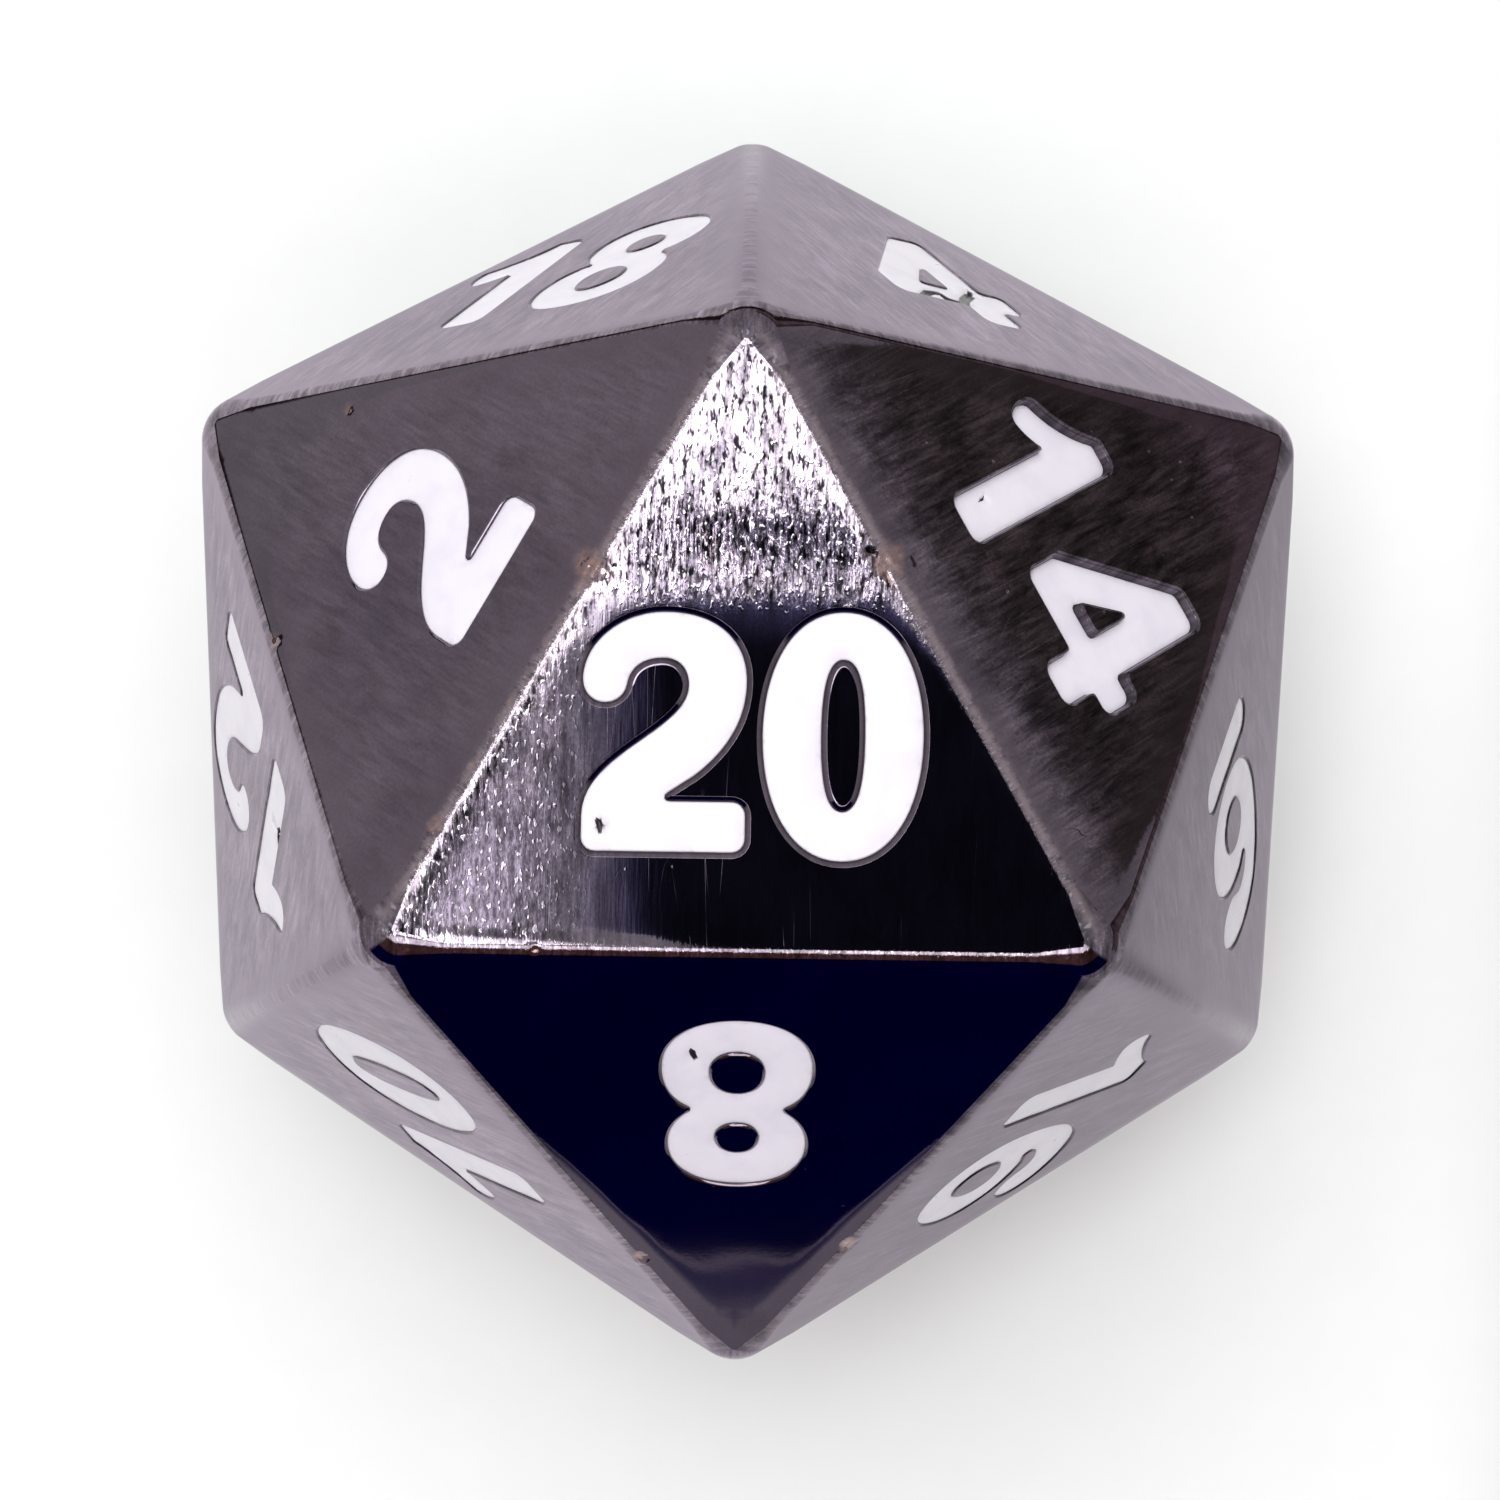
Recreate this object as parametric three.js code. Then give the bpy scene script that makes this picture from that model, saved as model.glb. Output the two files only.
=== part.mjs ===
// A twenty-sided gaming die of cast metal: an icosahedron with softly rounded
// edges and corners, a numeral sunk into every face, and a separate fill of
// white enamel in the pocket of every digit.
//
// Millimetres, +Z up. The die lies on its 1 face with the 20 on top. The origin
// is the middle of the bottom face, and +Y points to the top corner of the 20.

import * as THREE from 'three';
import { mergeVertices } from 'three/addons/utils/BufferGeometryUtils.js';

// ---- driving dimensions ---------------------------------------------------

const ACROSS_FACES = 20;      // face to opposite face
const EDGE_RADIUS = 0.4;      // rounding along the thirty edges
const CORNER_RADIUS = 0.9;    // rounding of the twelve corners
const EDGE_RUN = 1.2;         // where the edge rounding starts, from the sharp corner
const ROUND_STEPS = 4;        // flats across each rounded edge

const POCKET_DEPTH = 0.5;     // numeral pocket, below the face
const MOUTH_GROWTH = 0.06;    // pocket outline at the face, outside the digit
const FLOOR_GROWTH = -0.06;   // pocket outline at its floor (drafted walls)
const ENAMEL_GAP = 0.02;      // enamel to pocket wall and floor
const ENAMEL_LOW = 0.03;      // top of the enamel, below the face

const DIGIT_HEIGHT = 4.1;     // height of a straight-topped digit
const DIGIT_SPACE = 0.32;     // between the two digits of a numeral
const SPACE_AFTER_ONE = 0.86; // wider space after a 1
const TIP_RADIUS = 0.22;      // outside corners of the digits
const NOTCH_RADIUS = 0.09;    // inside corners of the digits
const CURVE_STEP = 20;        // degrees turned by each flat of a digit curve
const CORNER_STEP = 35;       // degrees turned by each flat of a digit corner

const UNDERLINE_SIZE = [2.8, 0.84];
const UNDERLINE_DROP = 0.32;  // bottom of the digit to the top of its underline

// ---- the sharp solid ------------------------------------------------------

const PHI = (1 + Math.sqrt(5)) / 2;
const HALF = ACROSS_FACES / 2;
const EDGE = ACROSS_FACES * Math.sqrt(3) / PHI ** 2;
const SMALL_RING = EDGE / Math.sqrt(3);
const LARGE_RING = SMALL_RING * PHI;
const MID_HEIGHT = HALF / PHI ** 3;

function ringPoint(radius, degrees, height) {
  const angle = THREE.MathUtils.degToRad(degrees);
  return new THREE.Vector3(radius * Math.cos(angle), radius * Math.sin(angle), height);
}

// Four rings of three corners, named by ring and compass side (+Y is north).
const CORNERS = {
  topNorth: ringPoint(SMALL_RING, 90, HALF),
  topWest: ringPoint(SMALL_RING, 210, HALF),
  topEast: ringPoint(SMALL_RING, 330, HALF),
  upperEast: ringPoint(LARGE_RING, 30, MID_HEIGHT),
  upperWest: ringPoint(LARGE_RING, 150, MID_HEIGHT),
  upperSouth: ringPoint(LARGE_RING, 270, MID_HEIGHT),
  lowerNorth: ringPoint(LARGE_RING, 90, -MID_HEIGHT),
  lowerWest: ringPoint(LARGE_RING, 210, -MID_HEIGHT),
  lowerEast: ringPoint(LARGE_RING, 330, -MID_HEIGHT),
  baseSouth: ringPoint(SMALL_RING, 270, -HALF),
  baseEast: ringPoint(SMALL_RING, 30, -HALF),
  baseWest: ringPoint(SMALL_RING, 150, -HALF),
};

// Every numeral, the corner its top points to, and the face's other corners.
// Opposite faces add up to 21. shift moves a numeral off the middle of its
// face, to the right and up. low is how deep its enamel lies.
const FACES = [
  { text: '20', corners: ['topNorth', 'topWest', 'topEast'], shift: [0.2, 0.05], low: 0.1 },
  { text: '14', corners: ['upperEast', 'topNorth', 'topEast'], shift: [0, 0.35], low: 0.2 },
  { text: '8', corners: ['upperSouth', 'topEast', 'topWest'], shift: [0, 0.05], low: 0.05 },
  { text: '2', corners: ['upperWest', 'topWest', 'topNorth'], shift: [0.2, 0.15], low: 0.06 },
  { text: '18', corners: ['lowerNorth', 'upperWest', 'topNorth'], shift: [-0.3, 0.5] },
  { text: '4', corners: ['lowerNorth', 'topNorth', 'upperEast'], shift: [0.2, 0.5] },
  { text: '12', corners: ['lowerWest', 'topWest', 'upperWest'], shift: [0.3, 0.1] },
  { text: '10', corners: ['lowerWest', 'upperSouth', 'topWest'], shift: [-0.2, 0.3] },
  { text: '16', corners: ['lowerEast', 'topEast', 'upperSouth'], shift: [0.1, 0.2] },
  { text: '6', corners: ['lowerEast', 'upperEast', 'topEast'], shift: [-0.2, 1.5] },
  { text: '1', corners: ['baseSouth', 'baseEast', 'baseWest'], shift: [0, 0.1] },
  { text: '7', corners: ['lowerWest', 'baseSouth', 'baseWest'], shift: [0.1, 0] },
  { text: '13', corners: ['lowerNorth', 'baseEast', 'baseWest'], shift: [0, 0.1] },
  { text: '19', corners: ['lowerEast', 'baseEast', 'baseSouth'], shift: [0.1, 0.1] },
  { text: '3', corners: ['upperSouth', 'lowerEast', 'baseSouth'], shift: [0, 0.1] },
  { text: '17', corners: ['upperSouth', 'baseSouth', 'lowerWest'], shift: [0, 0.1] },
  { text: '9', corners: ['upperEast', 'baseEast', 'lowerEast'], shift: [0.1, 1.4] },
  { text: '11', corners: ['upperEast', 'lowerNorth', 'baseEast'], shift: [-0.1, 0.1] },
  { text: '5', corners: ['upperWest', 'baseWest', 'lowerNorth'], shift: [0, 0] },
  { text: '15', corners: ['upperWest', 'lowerWest', 'baseWest'], shift: [0, 0.1] },
];

for (const face of FACES) {
  face.points = face.corners.map((name) => CORNERS[name]);
  face.centre = new THREE.Vector3();
  for (const point of face.points) face.centre.addScaledVector(point, 1 / 3);
  face.normal = face.centre.clone().normalize();
}

// ---- the rounded blank ----------------------------------------------------

// Turns unit vector a towards unit vector b by the fraction t of their angle.
function turnTowards(a, b, t) {
  const angle = a.angleTo(b);
  const result = a.clone().multiplyScalar(Math.sin((1 - t) * angle) / Math.sin(angle));
  return result.addScaledVector(b, Math.sin(t * angle) / Math.sin(angle));
}

// Where a ball of this radius, held inside the sharp solid, touches all the
// faces around a corner: the centre of the ball.
function ballCentre(corner, radius) {
  return corner.clone().multiplyScalar(1 - radius / HALF);
}

function cornerPoint(corner, normal) {
  return ballCentre(corner, CORNER_RADIUS).addScaledVector(normal, CORNER_RADIUS);
}

function edgePoint(corner, otherCorner, normal) {
  const start = ballCentre(corner, EDGE_RADIUS);
  start.lerp(ballCentre(otherCorner, EDGE_RADIUS), EDGE_RUN / EDGE);
  return start.addScaledVector(normal, EDGE_RADIUS);
}

// The nine corners of the flat part of a face, inside the roundings.
function flatOutline(face) {
  const outline = [];
  for (let i = 0; i < 3; i += 1) {
    const corner = face.points[i];
    outline.push(edgePoint(corner, face.points[(i + 2) % 3], face.normal));
    outline.push(cornerPoint(corner, face.normal));
    outline.push(edgePoint(corner, face.points[(i + 1) % 3], face.normal));
  }
  return outline;
}

// The roundings are convex around the origin, so a triangle's outer side is
// the one that looks away from it.
function addTriangle(triangles, a, b, c) {
  const normal = b.clone().sub(a).cross(c.clone().sub(a));
  triangles.push(normal.dot(a) > 0 ? [a, b, c] : [a, c, b]);
}

function addStrip(triangles, rowA, rowB) {
  for (let i = 0; i + 1 < rowA.length; i += 1) {
    addTriangle(triangles, rowA[i], rowA[i + 1], rowB[i]);
    addTriangle(triangles, rowA[i + 1], rowB[i + 1], rowB[i]);
  }
}

// The rounding along one edge: a straight bead between two tapering ends.
function addEdge(triangles, corner, otherCorner, normalA, normalB) {
  const rows = [[], [], [], []];
  for (let i = 0; i <= ROUND_STEPS; i += 1) {
    const normal = turnTowards(normalA, normalB, i / ROUND_STEPS);
    rows[0].push(cornerPoint(corner, normal));
    rows[1].push(edgePoint(corner, otherCorner, normal));
    rows[2].push(edgePoint(otherCorner, corner, normal));
    rows[3].push(cornerPoint(otherCorner, normal));
  }
  for (let i = 0; i < 3; i += 1) addStrip(triangles, rows[i], rows[i + 1]);
}

// One fifth of the ball cap on a corner, between two neighbouring faces.
function addCapSector(triangles, corner, normalA, normalB) {
  const axis = corner.clone().normalize();
  const rows = [[cornerPoint(corner, axis)]];
  for (let i = 1; i <= ROUND_STEPS; i += 1) {
    const start = turnTowards(axis, normalA, i / ROUND_STEPS);
    const end = turnTowards(axis, normalB, i / ROUND_STEPS);
    const row = [];
    for (let j = 0; j <= i; j += 1) {
      const normal = j === 0 ? start : turnTowards(start, end, j / i);
      row.push(cornerPoint(corner, normal));
    }
    rows.push(row);
  }
  for (let i = 1; i <= ROUND_STEPS; i += 1) {
    for (let j = 0; j < i; j += 1) {
      addTriangle(triangles, rows[i][j], rows[i][j + 1], rows[i - 1][j]);
      if (j > 0) addTriangle(triangles, rows[i][j], rows[i - 1][j], rows[i - 1][j - 1]);
    }
  }
}

function roundingTriangles() {
  const triangles = [];
  for (let i = 0; i < FACES.length; i += 1) {
    for (let j = i + 1; j < FACES.length; j += 1) {
      const [a, b] = [FACES[i], FACES[j]];
      const shared = a.points.filter((point) => b.points.includes(point));
      if (shared.length !== 2) continue;
      addEdge(triangles, shared[0], shared[1], a.normal, b.normal);
      addCapSector(triangles, shared[0], a.normal, b.normal);
      addCapSector(triangles, shared[1], a.normal, b.normal);
    }
  }
  return triangles;
}

// ---- the digits -----------------------------------------------------------

// Outlines in millimetres, the baseline at y = 0. A pair of numbers is a
// straight line to that point, and six are a Bezier curve: two control points
// and the end. The first outline goes round the outside, the others are the
// islands of metal left standing inside the digit.
const DIGITS = {
  0: {
    width: 2.81,
    outlines: [
      [[0, 2.05], [0, 0.85, 0.5, -0.13, 1.4, -0.13], [2.31, -0.13, 2.81, 0.85, 2.81, 2.05],
        [2.81, 3.25, 2.31, 4.23, 1.4, 4.23], [0.5, 4.23, 0, 3.25, 0, 2.05]],
      [[1, 2.07], [1, 2.9, 1.1, 3.43, 1.4, 3.43], [1.71, 3.43, 1.81, 2.9, 1.81, 2.07],
        [1.81, 1.24, 1.71, 0.71, 1.4, 0.71], [1.1, 0.71, 1, 1.24, 1, 2.07]],
    ],
  },
  1: {
    width: 1.9,
    outlines: [
      [[0.95, 0], [1.9, 0], [1.9, 4.1], [1.3, 4.1], [0.98, 3.62, 0.6, 3.3, 0.12, 3.1],
        [-0.1, 2.98, -0.02, 2.36, 0.3, 2.44], [0.55, 2.5, 0.75, 2.62, 0.95, 2.78]],
    ],
  },
  2: {
    width: 2.86,
    outlines: [
      [[0, 0], [2.86, 0], [2.86, 0.86], [1.22, 0.86], [1.98, 1.36],
        [2.5, 1.78, 2.86, 2.3, 2.86, 3], [2.86, 3.75, 2.3, 4.2, 1.45, 4.2],
        [0.65, 4.2, 0.02, 3.65, 0, 3.04], [0, 2.5, 0.68, 2.5, 0.75, 2.94],
        [0.8, 3.27, 1.08, 3.42, 1.4, 3.42], [1.72, 3.42, 1.87, 3.2, 1.87, 2.92],
        [1.87, 2.1, 0, 1.7, 0, 0.6]],
    ],
  },
  3: {
    width: 2.7,
    outlines: [
      [[0.02, 0.95], [0.1, 0.3, 0.65, -0.1, 1.33, -0.1], [2.15, -0.1, 2.7, 0.4, 2.7, 1.15],
        [2.7, 1.62, 2.52, 1.98, 2.22, 2.13], [2.12, 2.18, 2.12, 2.26, 2.2, 2.31],
        [2.46, 2.48, 2.6, 2.78, 2.6, 3.12], [2.6, 3.8, 2.05, 4.2, 1.33, 4.2],
        [0.7, 4.2, 0.2, 3.85, 0.08, 3.3], [0, 2.82, 0.68, 2.72, 0.85, 3.12],
        [0.93, 3.34, 1.08, 3.42, 1.3, 3.42], [1.6, 3.42, 1.75, 3.27, 1.75, 3.03],
        [1.75, 2.75, 1.55, 2.6, 1.22, 2.6], [0.72, 2.6, 0.72, 1.82, 1.22, 1.82],
        [1.62, 1.82, 1.82, 1.62, 1.82, 1.27], [1.82, 0.93, 1.62, 0.7, 1.3, 0.7],
        [1.05, 0.7, 0.88, 0.82, 0.82, 1.04], [0.68, 1.46, -0.02, 1.36, 0.02, 0.95]],
    ],
  },
  4: {
    width: 3,
    outlines: [
      [[1.64, 0], [2.47, 0], [2.47, 0.8], [3, 0.8], [3, 1.66], [2.47, 1.66], [2.47, 4.1],
        [1.72, 4.1], [0, 1.7], [0, 0.8], [1.64, 0.8]],
      [[1.64, 1.52], [0.88, 1.52], [1.64, 2.72]],
    ],
  },
  5: {
    width: 2.75,
    outlines: [
      [[0.35, 4.1], [0.16, 1.86], [0.88, 1.78], [1, 1.92, 1.14, 1.98, 1.32, 1.98],
        [1.66, 1.98, 1.85, 1.74, 1.85, 1.35], [1.85, 0.95, 1.65, 0.7, 1.3, 0.7],
        [1.05, 0.7, 0.88, 0.82, 0.82, 1.02], [0.66, 1.42, -0.04, 1.28, 0.02, 0.82],
        [0.12, 0.25, 0.6, -0.1, 1.3, -0.1], [2.15, -0.1, 2.75, 0.5, 2.75, 1.38],
        [2.75, 2.2, 2.3, 2.76, 1.6, 2.76], [1.4, 2.76, 1.25, 2.72, 1.1, 2.64],
        [1.16, 3.26], [2.5, 3.26], [2.5, 4.1]],
    ],
  },
  6: {
    width: 2.74,
    outlines: [
      [[0, 1.6], [0, 0.6, 0.55, -0.1, 1.4, -0.1], [2.2, -0.1, 2.74, 0.5, 2.74, 1.3],
        [2.74, 2.05, 2.2, 2.6, 1.5, 2.6], [1.42, 2.6, 1.36, 2.6, 1.3, 2.58], [1, 2.42],
        [0.86, 2.54], [0.98, 2.82], [1.08, 2.98, 1.26, 3.1, 1.5, 3.1],
        [1.75, 3.1, 1.85, 2.82, 2.1, 2.8], [2.65, 2.72, 2.85, 3.2, 2.6, 3.6],
        [2.4, 3.95, 2, 4.1, 1.55, 4.1], [0.55, 4.1, 0, 3, 0, 1.6]],
      [[0.83, 1.25], [0.83, 1.6, 1.05, 1.88, 1.38, 1.88], [1.72, 1.88, 1.9, 1.6, 1.9, 1.27],
        [1.9, 0.9, 1.72, 0.62, 1.38, 0.62], [1.04, 0.62, 0.83, 0.9, 0.83, 1.25]],
    ],
  },
  7: {
    width: 2.7,
    outlines: [
      [[0.45, 0], [1.42, 0], [1.6, 1.3, 2, 2.3, 2.7, 3.3], [2.7, 4.1], [0, 4.1], [0, 3.24],
        [1.62, 3.24], [1, 2.3, 0.6, 1.3, 0.45, 0]],
    ],
  },
  8: {
    width: 2.71,
    outlines: [
      [[0, 1.12], [0, 0.35, 0.55, -0.1, 1.35, -0.1], [2.15, -0.1, 2.71, 0.35, 2.71, 1.12],
        [2.71, 1.6, 2.54, 1.96, 2.26, 2.12], [2.16, 2.18, 2.16, 2.25, 2.25, 2.31],
        [2.48, 2.5, 2.61, 2.78, 2.61, 3.12], [2.61, 3.8, 2.1, 4.2, 1.35, 4.2],
        [0.6, 4.2, 0.1, 3.8, 0.1, 3.12], [0.1, 2.78, 0.23, 2.5, 0.46, 2.31],
        [0.55, 2.25, 0.55, 2.18, 0.45, 2.12], [0.17, 1.96, 0, 1.6, 0, 1.12]],
      [[0.83, 1.24], [0.83, 1.58, 1.05, 1.8, 1.35, 1.8], [1.66, 1.8, 1.88, 1.58, 1.88, 1.24],
        [1.88, 0.9, 1.66, 0.68, 1.35, 0.68], [1.05, 0.68, 0.83, 0.9, 0.83, 1.24]],
      [[0.93, 2.96], [0.93, 3.2, 1.1, 3.38, 1.35, 3.38], [1.61, 3.38, 1.78, 3.2, 1.78, 2.96],
        [1.78, 2.73, 1.61, 2.55, 1.35, 2.55], [1.1, 2.55, 0.93, 2.73, 0.93, 2.96]],
    ],
  },
};

// The 9 is the 6 turned upside down.
function turnedOver(digit) {
  const turnStep = (step) => step.map((value, i) => (i % 2 ? 4 - value : digit.width - value));
  return { width: digit.width, outlines: digit.outlines.map((path) => path.map(turnStep)) };
}
DIGITS[9] = turnedOver(DIGITS[6]);

// A short bar with round ends, under the 6 and the 9 to tell them apart.
function underlineDigit() {
  const [length, height] = UNDERLINE_SIZE;
  const end = height * 0.55;
  const path = [
    [end, 0],
    [length - end, 0],
    [length, 0, length, height, length - end, height],
    [end, height],
    [0, height, 0, 0, end, 0],
  ];
  return { width: length, outlines: [path] };
}

// Flattens a path to points, with more of them where it turns more.
function pathPoints(path) {
  const points = [new THREE.Vector2(...path[0])];
  for (const step of path.slice(1)) {
    const from = points[points.length - 1];
    const end = new THREE.Vector2(...step.slice(-2));
    if (step.length === 2) {
      points.push(end);
      continue;
    }
    const first = new THREE.Vector2(step[0], step[1]);
    const second = new THREE.Vector2(step[2], step[3]);
    const curve = new THREE.CubicBezierCurve(from, first, second, end);
    const legs = [first.clone().sub(from), second.clone().sub(first), end.clone().sub(second)];
    const turn = turnBetween(legs[0], legs[1]) + turnBetween(legs[1], legs[2]);
    const steps = Math.max(2, Math.round(Math.abs(THREE.MathUtils.radToDeg(turn)) / CURVE_STEP));
    points.push(...curve.getPoints(steps).slice(1));
  }
  const last = points[points.length - 1];
  if (last.distanceTo(points[0]) < 1e-6) points.pop();
  return points;
}

// Signed angle from one direction to the next, positive to the left.
function turnBetween(a, b) {
  return Math.atan2(a.cross(b), a.dot(b));
}

// Replaces each hard corner by a small arc: TIP_RADIUS where the digit sticks
// out and NOTCH_RADIUS where the metal sticks into the digit.
function softenCorners(points) {
  const soft = [];
  for (let i = 0; i < points.length; i += 1) {
    const before = points[(i + points.length - 1) % points.length];
    const here = points[i];
    const after = points[(i + 1) % points.length];
    const arriving = here.clone().sub(before);
    const leaving = after.clone().sub(here);
    const turn = turnBetween(arriving, leaving);
    if (Math.abs(turn) < Math.PI / 5) {
      soft.push(here);
      continue;
    }
    const wanted = turn > 0 ? TIP_RADIUS : NOTCH_RADIUS;
    const half = Math.tan(Math.abs(turn) / 2);
    const room = 0.48 * Math.min(arriving.length(), leaving.length());
    const reach = Math.min(wanted * half, room);
    const radius = Math.sign(turn) * reach / half;
    const along = arriving.normalize();
    const start = here.clone().addScaledVector(along, -reach);
    const centre = new THREE.Vector2(-along.y, along.x).multiplyScalar(radius).add(start);
    const steps = Math.ceil(Math.abs(turn) / THREE.MathUtils.degToRad(CORNER_STEP));
    for (let k = 0; k <= steps; k += 1) {
      soft.push(start.clone().rotateAround(centre, turn * k / steps));
    }
  }
  return soft;
}

// A digit as closed loops of points, with the enamel always on the left.
function digitLoops(digit) {
  return digit.outlines.map((path, i) => {
    const points = pathPoints(path);
    const wantLeft = i === 0;
    if (THREE.ShapeUtils.area(points) > 0 !== wantLeft) points.reverse();
    return softenCorners(points);
  });
}

// Moves every side of a loop outwards from the enamel by the same distance.
function growLoop(points, growth) {
  return points.map((here, i) => {
    const before = points[(i + points.length - 1) % points.length];
    const after = points[(i + 1) % points.length];
    const a = here.clone().sub(before).normalize();
    const b = after.clone().sub(here).normalize();
    const outA = new THREE.Vector2(a.y, -a.x);
    const outB = new THREE.Vector2(b.y, -b.x);
    const scale = growth / (1 + outA.dot(outB));
    return here.clone().addScaledVector(outA.add(outB), scale);
  });
}

// The flat region inside a loop, less the loops within it, at one height. Its
// triangles face up.
function capTriangles(outline, inner, height) {
  const points = [outline, ...inner].flat();
  const corners = points.map((point) => new THREE.Vector3(point.x, point.y, height));
  return THREE.ShapeUtils.triangulateShape(outline, inner).map((triangle) => {
    const flat = triangle.map((i) => points[i]);
    const ordered = THREE.ShapeUtils.area(flat) > 0 ? triangle : [...triangle].reverse();
    return ordered.map((i) => corners[i]);
  });
}

// The side walls of a digit between two heights, facing away from its enamel.
function wallTriangles(lowerLoops, bottom, upperLoops, top) {
  const triangles = [];
  lowerLoops.forEach((lower, k) => {
    const low = lower.map((point) => new THREE.Vector3(point.x, point.y, bottom));
    const high = upperLoops[k].map((point) => new THREE.Vector3(point.x, point.y, top));
    for (let i = 0; i < low.length; i += 1) {
      const j = (i + 1) % low.length;
      triangles.push([low[i], low[j], high[j]], [low[i], high[j], high[i]]);
    }
  });
  return triangles;
}

function turnedRound(triangles) {
  return triangles.map(([a, b, c]) => [a, c, b]);
}

// ---- closed meshes --------------------------------------------------------

function meshOf(name, triangles, material) {
  const rounded = (value) => Math.round(value * 1e5) / 1e5;
  const positions = triangles.flat().flatMap((point) => point.toArray().map(rounded));
  const geometry = new THREE.BufferGeometry();
  geometry.setAttribute('position', new THREE.Float32BufferAttribute(positions, 3));
  const mesh = new THREE.Mesh(mergeVertices(geometry, 1e-5), material);
  mesh.name = name;
  return mesh;
}

// ---- the die --------------------------------------------------------------

const metal = new THREE.MeshStandardMaterial({
  name: 'black_nickel_plating',
  color: 0x5c5860,
  metalness: 1,
  roughness: 0.25,
});
const enamel = new THREE.MeshStandardMaterial({
  name: 'white_enamel',
  color: 0xf6f3f8,
  metalness: 0,
  roughness: 0.35,
});

const die = new THREE.Group();
die.position.z = HALF;

// A frame on the face: x to the right of the numeral, y to its top, z outwards.
function faceGroup(face) {
  const group = new THREE.Group();
  const up = face.points[0].clone().sub(face.centre).normalize();
  const right = up.clone().cross(face.normal);
  const turned = new THREE.Matrix4().makeBasis(right, up, face.normal);
  group.position.copy(face.centre);
  group.quaternion.setFromRotationMatrix(turned);
  return group;
}

// The digits of a numeral with their places along the baseline.
function numeralPieces(face) {
  const characters = [...face.text];
  const pieces = [];
  let x = 0;
  characters.forEach((character, i) => {
    const digit = DIGITS[character];
    const place = ['_tens', '_ones'][i];
    const name = `enamel_${face.text}${characters.length > 1 ? place : ''}`;
    pieces.push({ name, digit, x, y: 0 });
    x += digit.width;
    if (i + 1 < characters.length) x += character === '1' ? SPACE_AFTER_ONE : DIGIT_SPACE;
  });
  if (face.text === '6' || face.text === '9') {
    const bar = underlineDigit();
    const y = -0.1 - UNDERLINE_DROP - UNDERLINE_SIZE[1] + 0.1;
    pieces.push({ name: `underline_${face.text}`, digit: bar, x: (x - bar.width) / 2 - 0.1, y });
  }
  for (const piece of pieces) {
    piece.x += face.shift[0] - x / 2;
    piece.y += face.shift[1] - DIGIT_HEIGHT / 2;
  }
  return pieces;
}

// How far the pocket wall stands outside the digit at a height above the face.
function wallGrowth(height) {
  return MOUTH_GROWTH + (MOUTH_GROWTH - FLOOR_GROWTH) * height / POCKET_DEPTH;
}

function grownLoops(loops, growth) {
  return loops.map((loop) => growLoop(loop, growth));
}

// The fill of one digit, a little clear of the pocket's floor and walls.
function enamelTriangles(loops, low) {
  const bottom = ENAMEL_GAP - POCKET_DEPTH;
  const top = -low;
  const lower = grownLoops(loops, wallGrowth(bottom) - ENAMEL_GAP);
  const upper = grownLoops(loops, wallGrowth(top) - ENAMEL_GAP);
  return [
    ...wallTriangles(lower, bottom, upper, top),
    ...turnedRound(capTriangles(lower[0], lower.slice(1), bottom)),
    ...capTriangles(upper[0], upper.slice(1), top),
  ];
}

// A face of the casting: the flat around the pockets, then each pocket's walls
// and floor, and the islands of metal left standing inside the digits.
function faceTriangles(outline, digits) {
  const mouths = digits.map((loops) => grownLoops(loops, MOUTH_GROWTH));
  const floors = digits.map((loops) => grownLoops(loops, FLOOR_GROWTH));
  const triangles = capTriangles(outline, mouths.map((loops) => loops[0]), 0);
  digits.forEach((loops, i) => {
    const walls = wallTriangles(floors[i], -POCKET_DEPTH, mouths[i], 0);
    triangles.push(...turnedRound(walls));
    triangles.push(...capTriangles(floors[i][0], floors[i].slice(1), -POCKET_DEPTH));
    for (const island of mouths[i].slice(1)) triangles.push(...capTriangles(island, [], 0));
  });
  return triangles;
}

const bodyTriangles = roundingTriangles();

for (const face of FACES) {
  const group = faceGroup(face);
  const placedDigits = [];
  for (const piece of numeralPieces(face)) {
    const loops = digitLoops(piece.digit);
    const shift = new THREE.Vector2(piece.x, piece.y);
    const fill = meshOf(piece.name, enamelTriangles(loops, face.low ?? ENAMEL_LOW), enamel);
    fill.position.set(piece.x, piece.y, 0);
    group.add(fill);
    placedDigits.push(loops.map((loop) => loop.map((point) => point.clone().add(shift))));
  }
  group.updateMatrixWorld();
  const outline = flatOutline(face).map((point) => {
    const local = group.worldToLocal(point);
    return new THREE.Vector2(local.x, local.y);
  });
  for (const triangle of faceTriangles(outline, placedDigits)) {
    bodyTriangles.push(triangle.map((point) => group.localToWorld(point.clone())));
  }
  die.add(group);
}

die.add(meshOf('die_body', bodyTriangles, metal));

export default die;
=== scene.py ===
# A twenty-sided die of cast metal, black-nickel plated, with white enamel in
# its numerals, lying on white paper under a close camera.

import math

import bpy
import numpy as np
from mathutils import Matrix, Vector, noise
from mathutils.geometry import delaunay_2d_cdt


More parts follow.
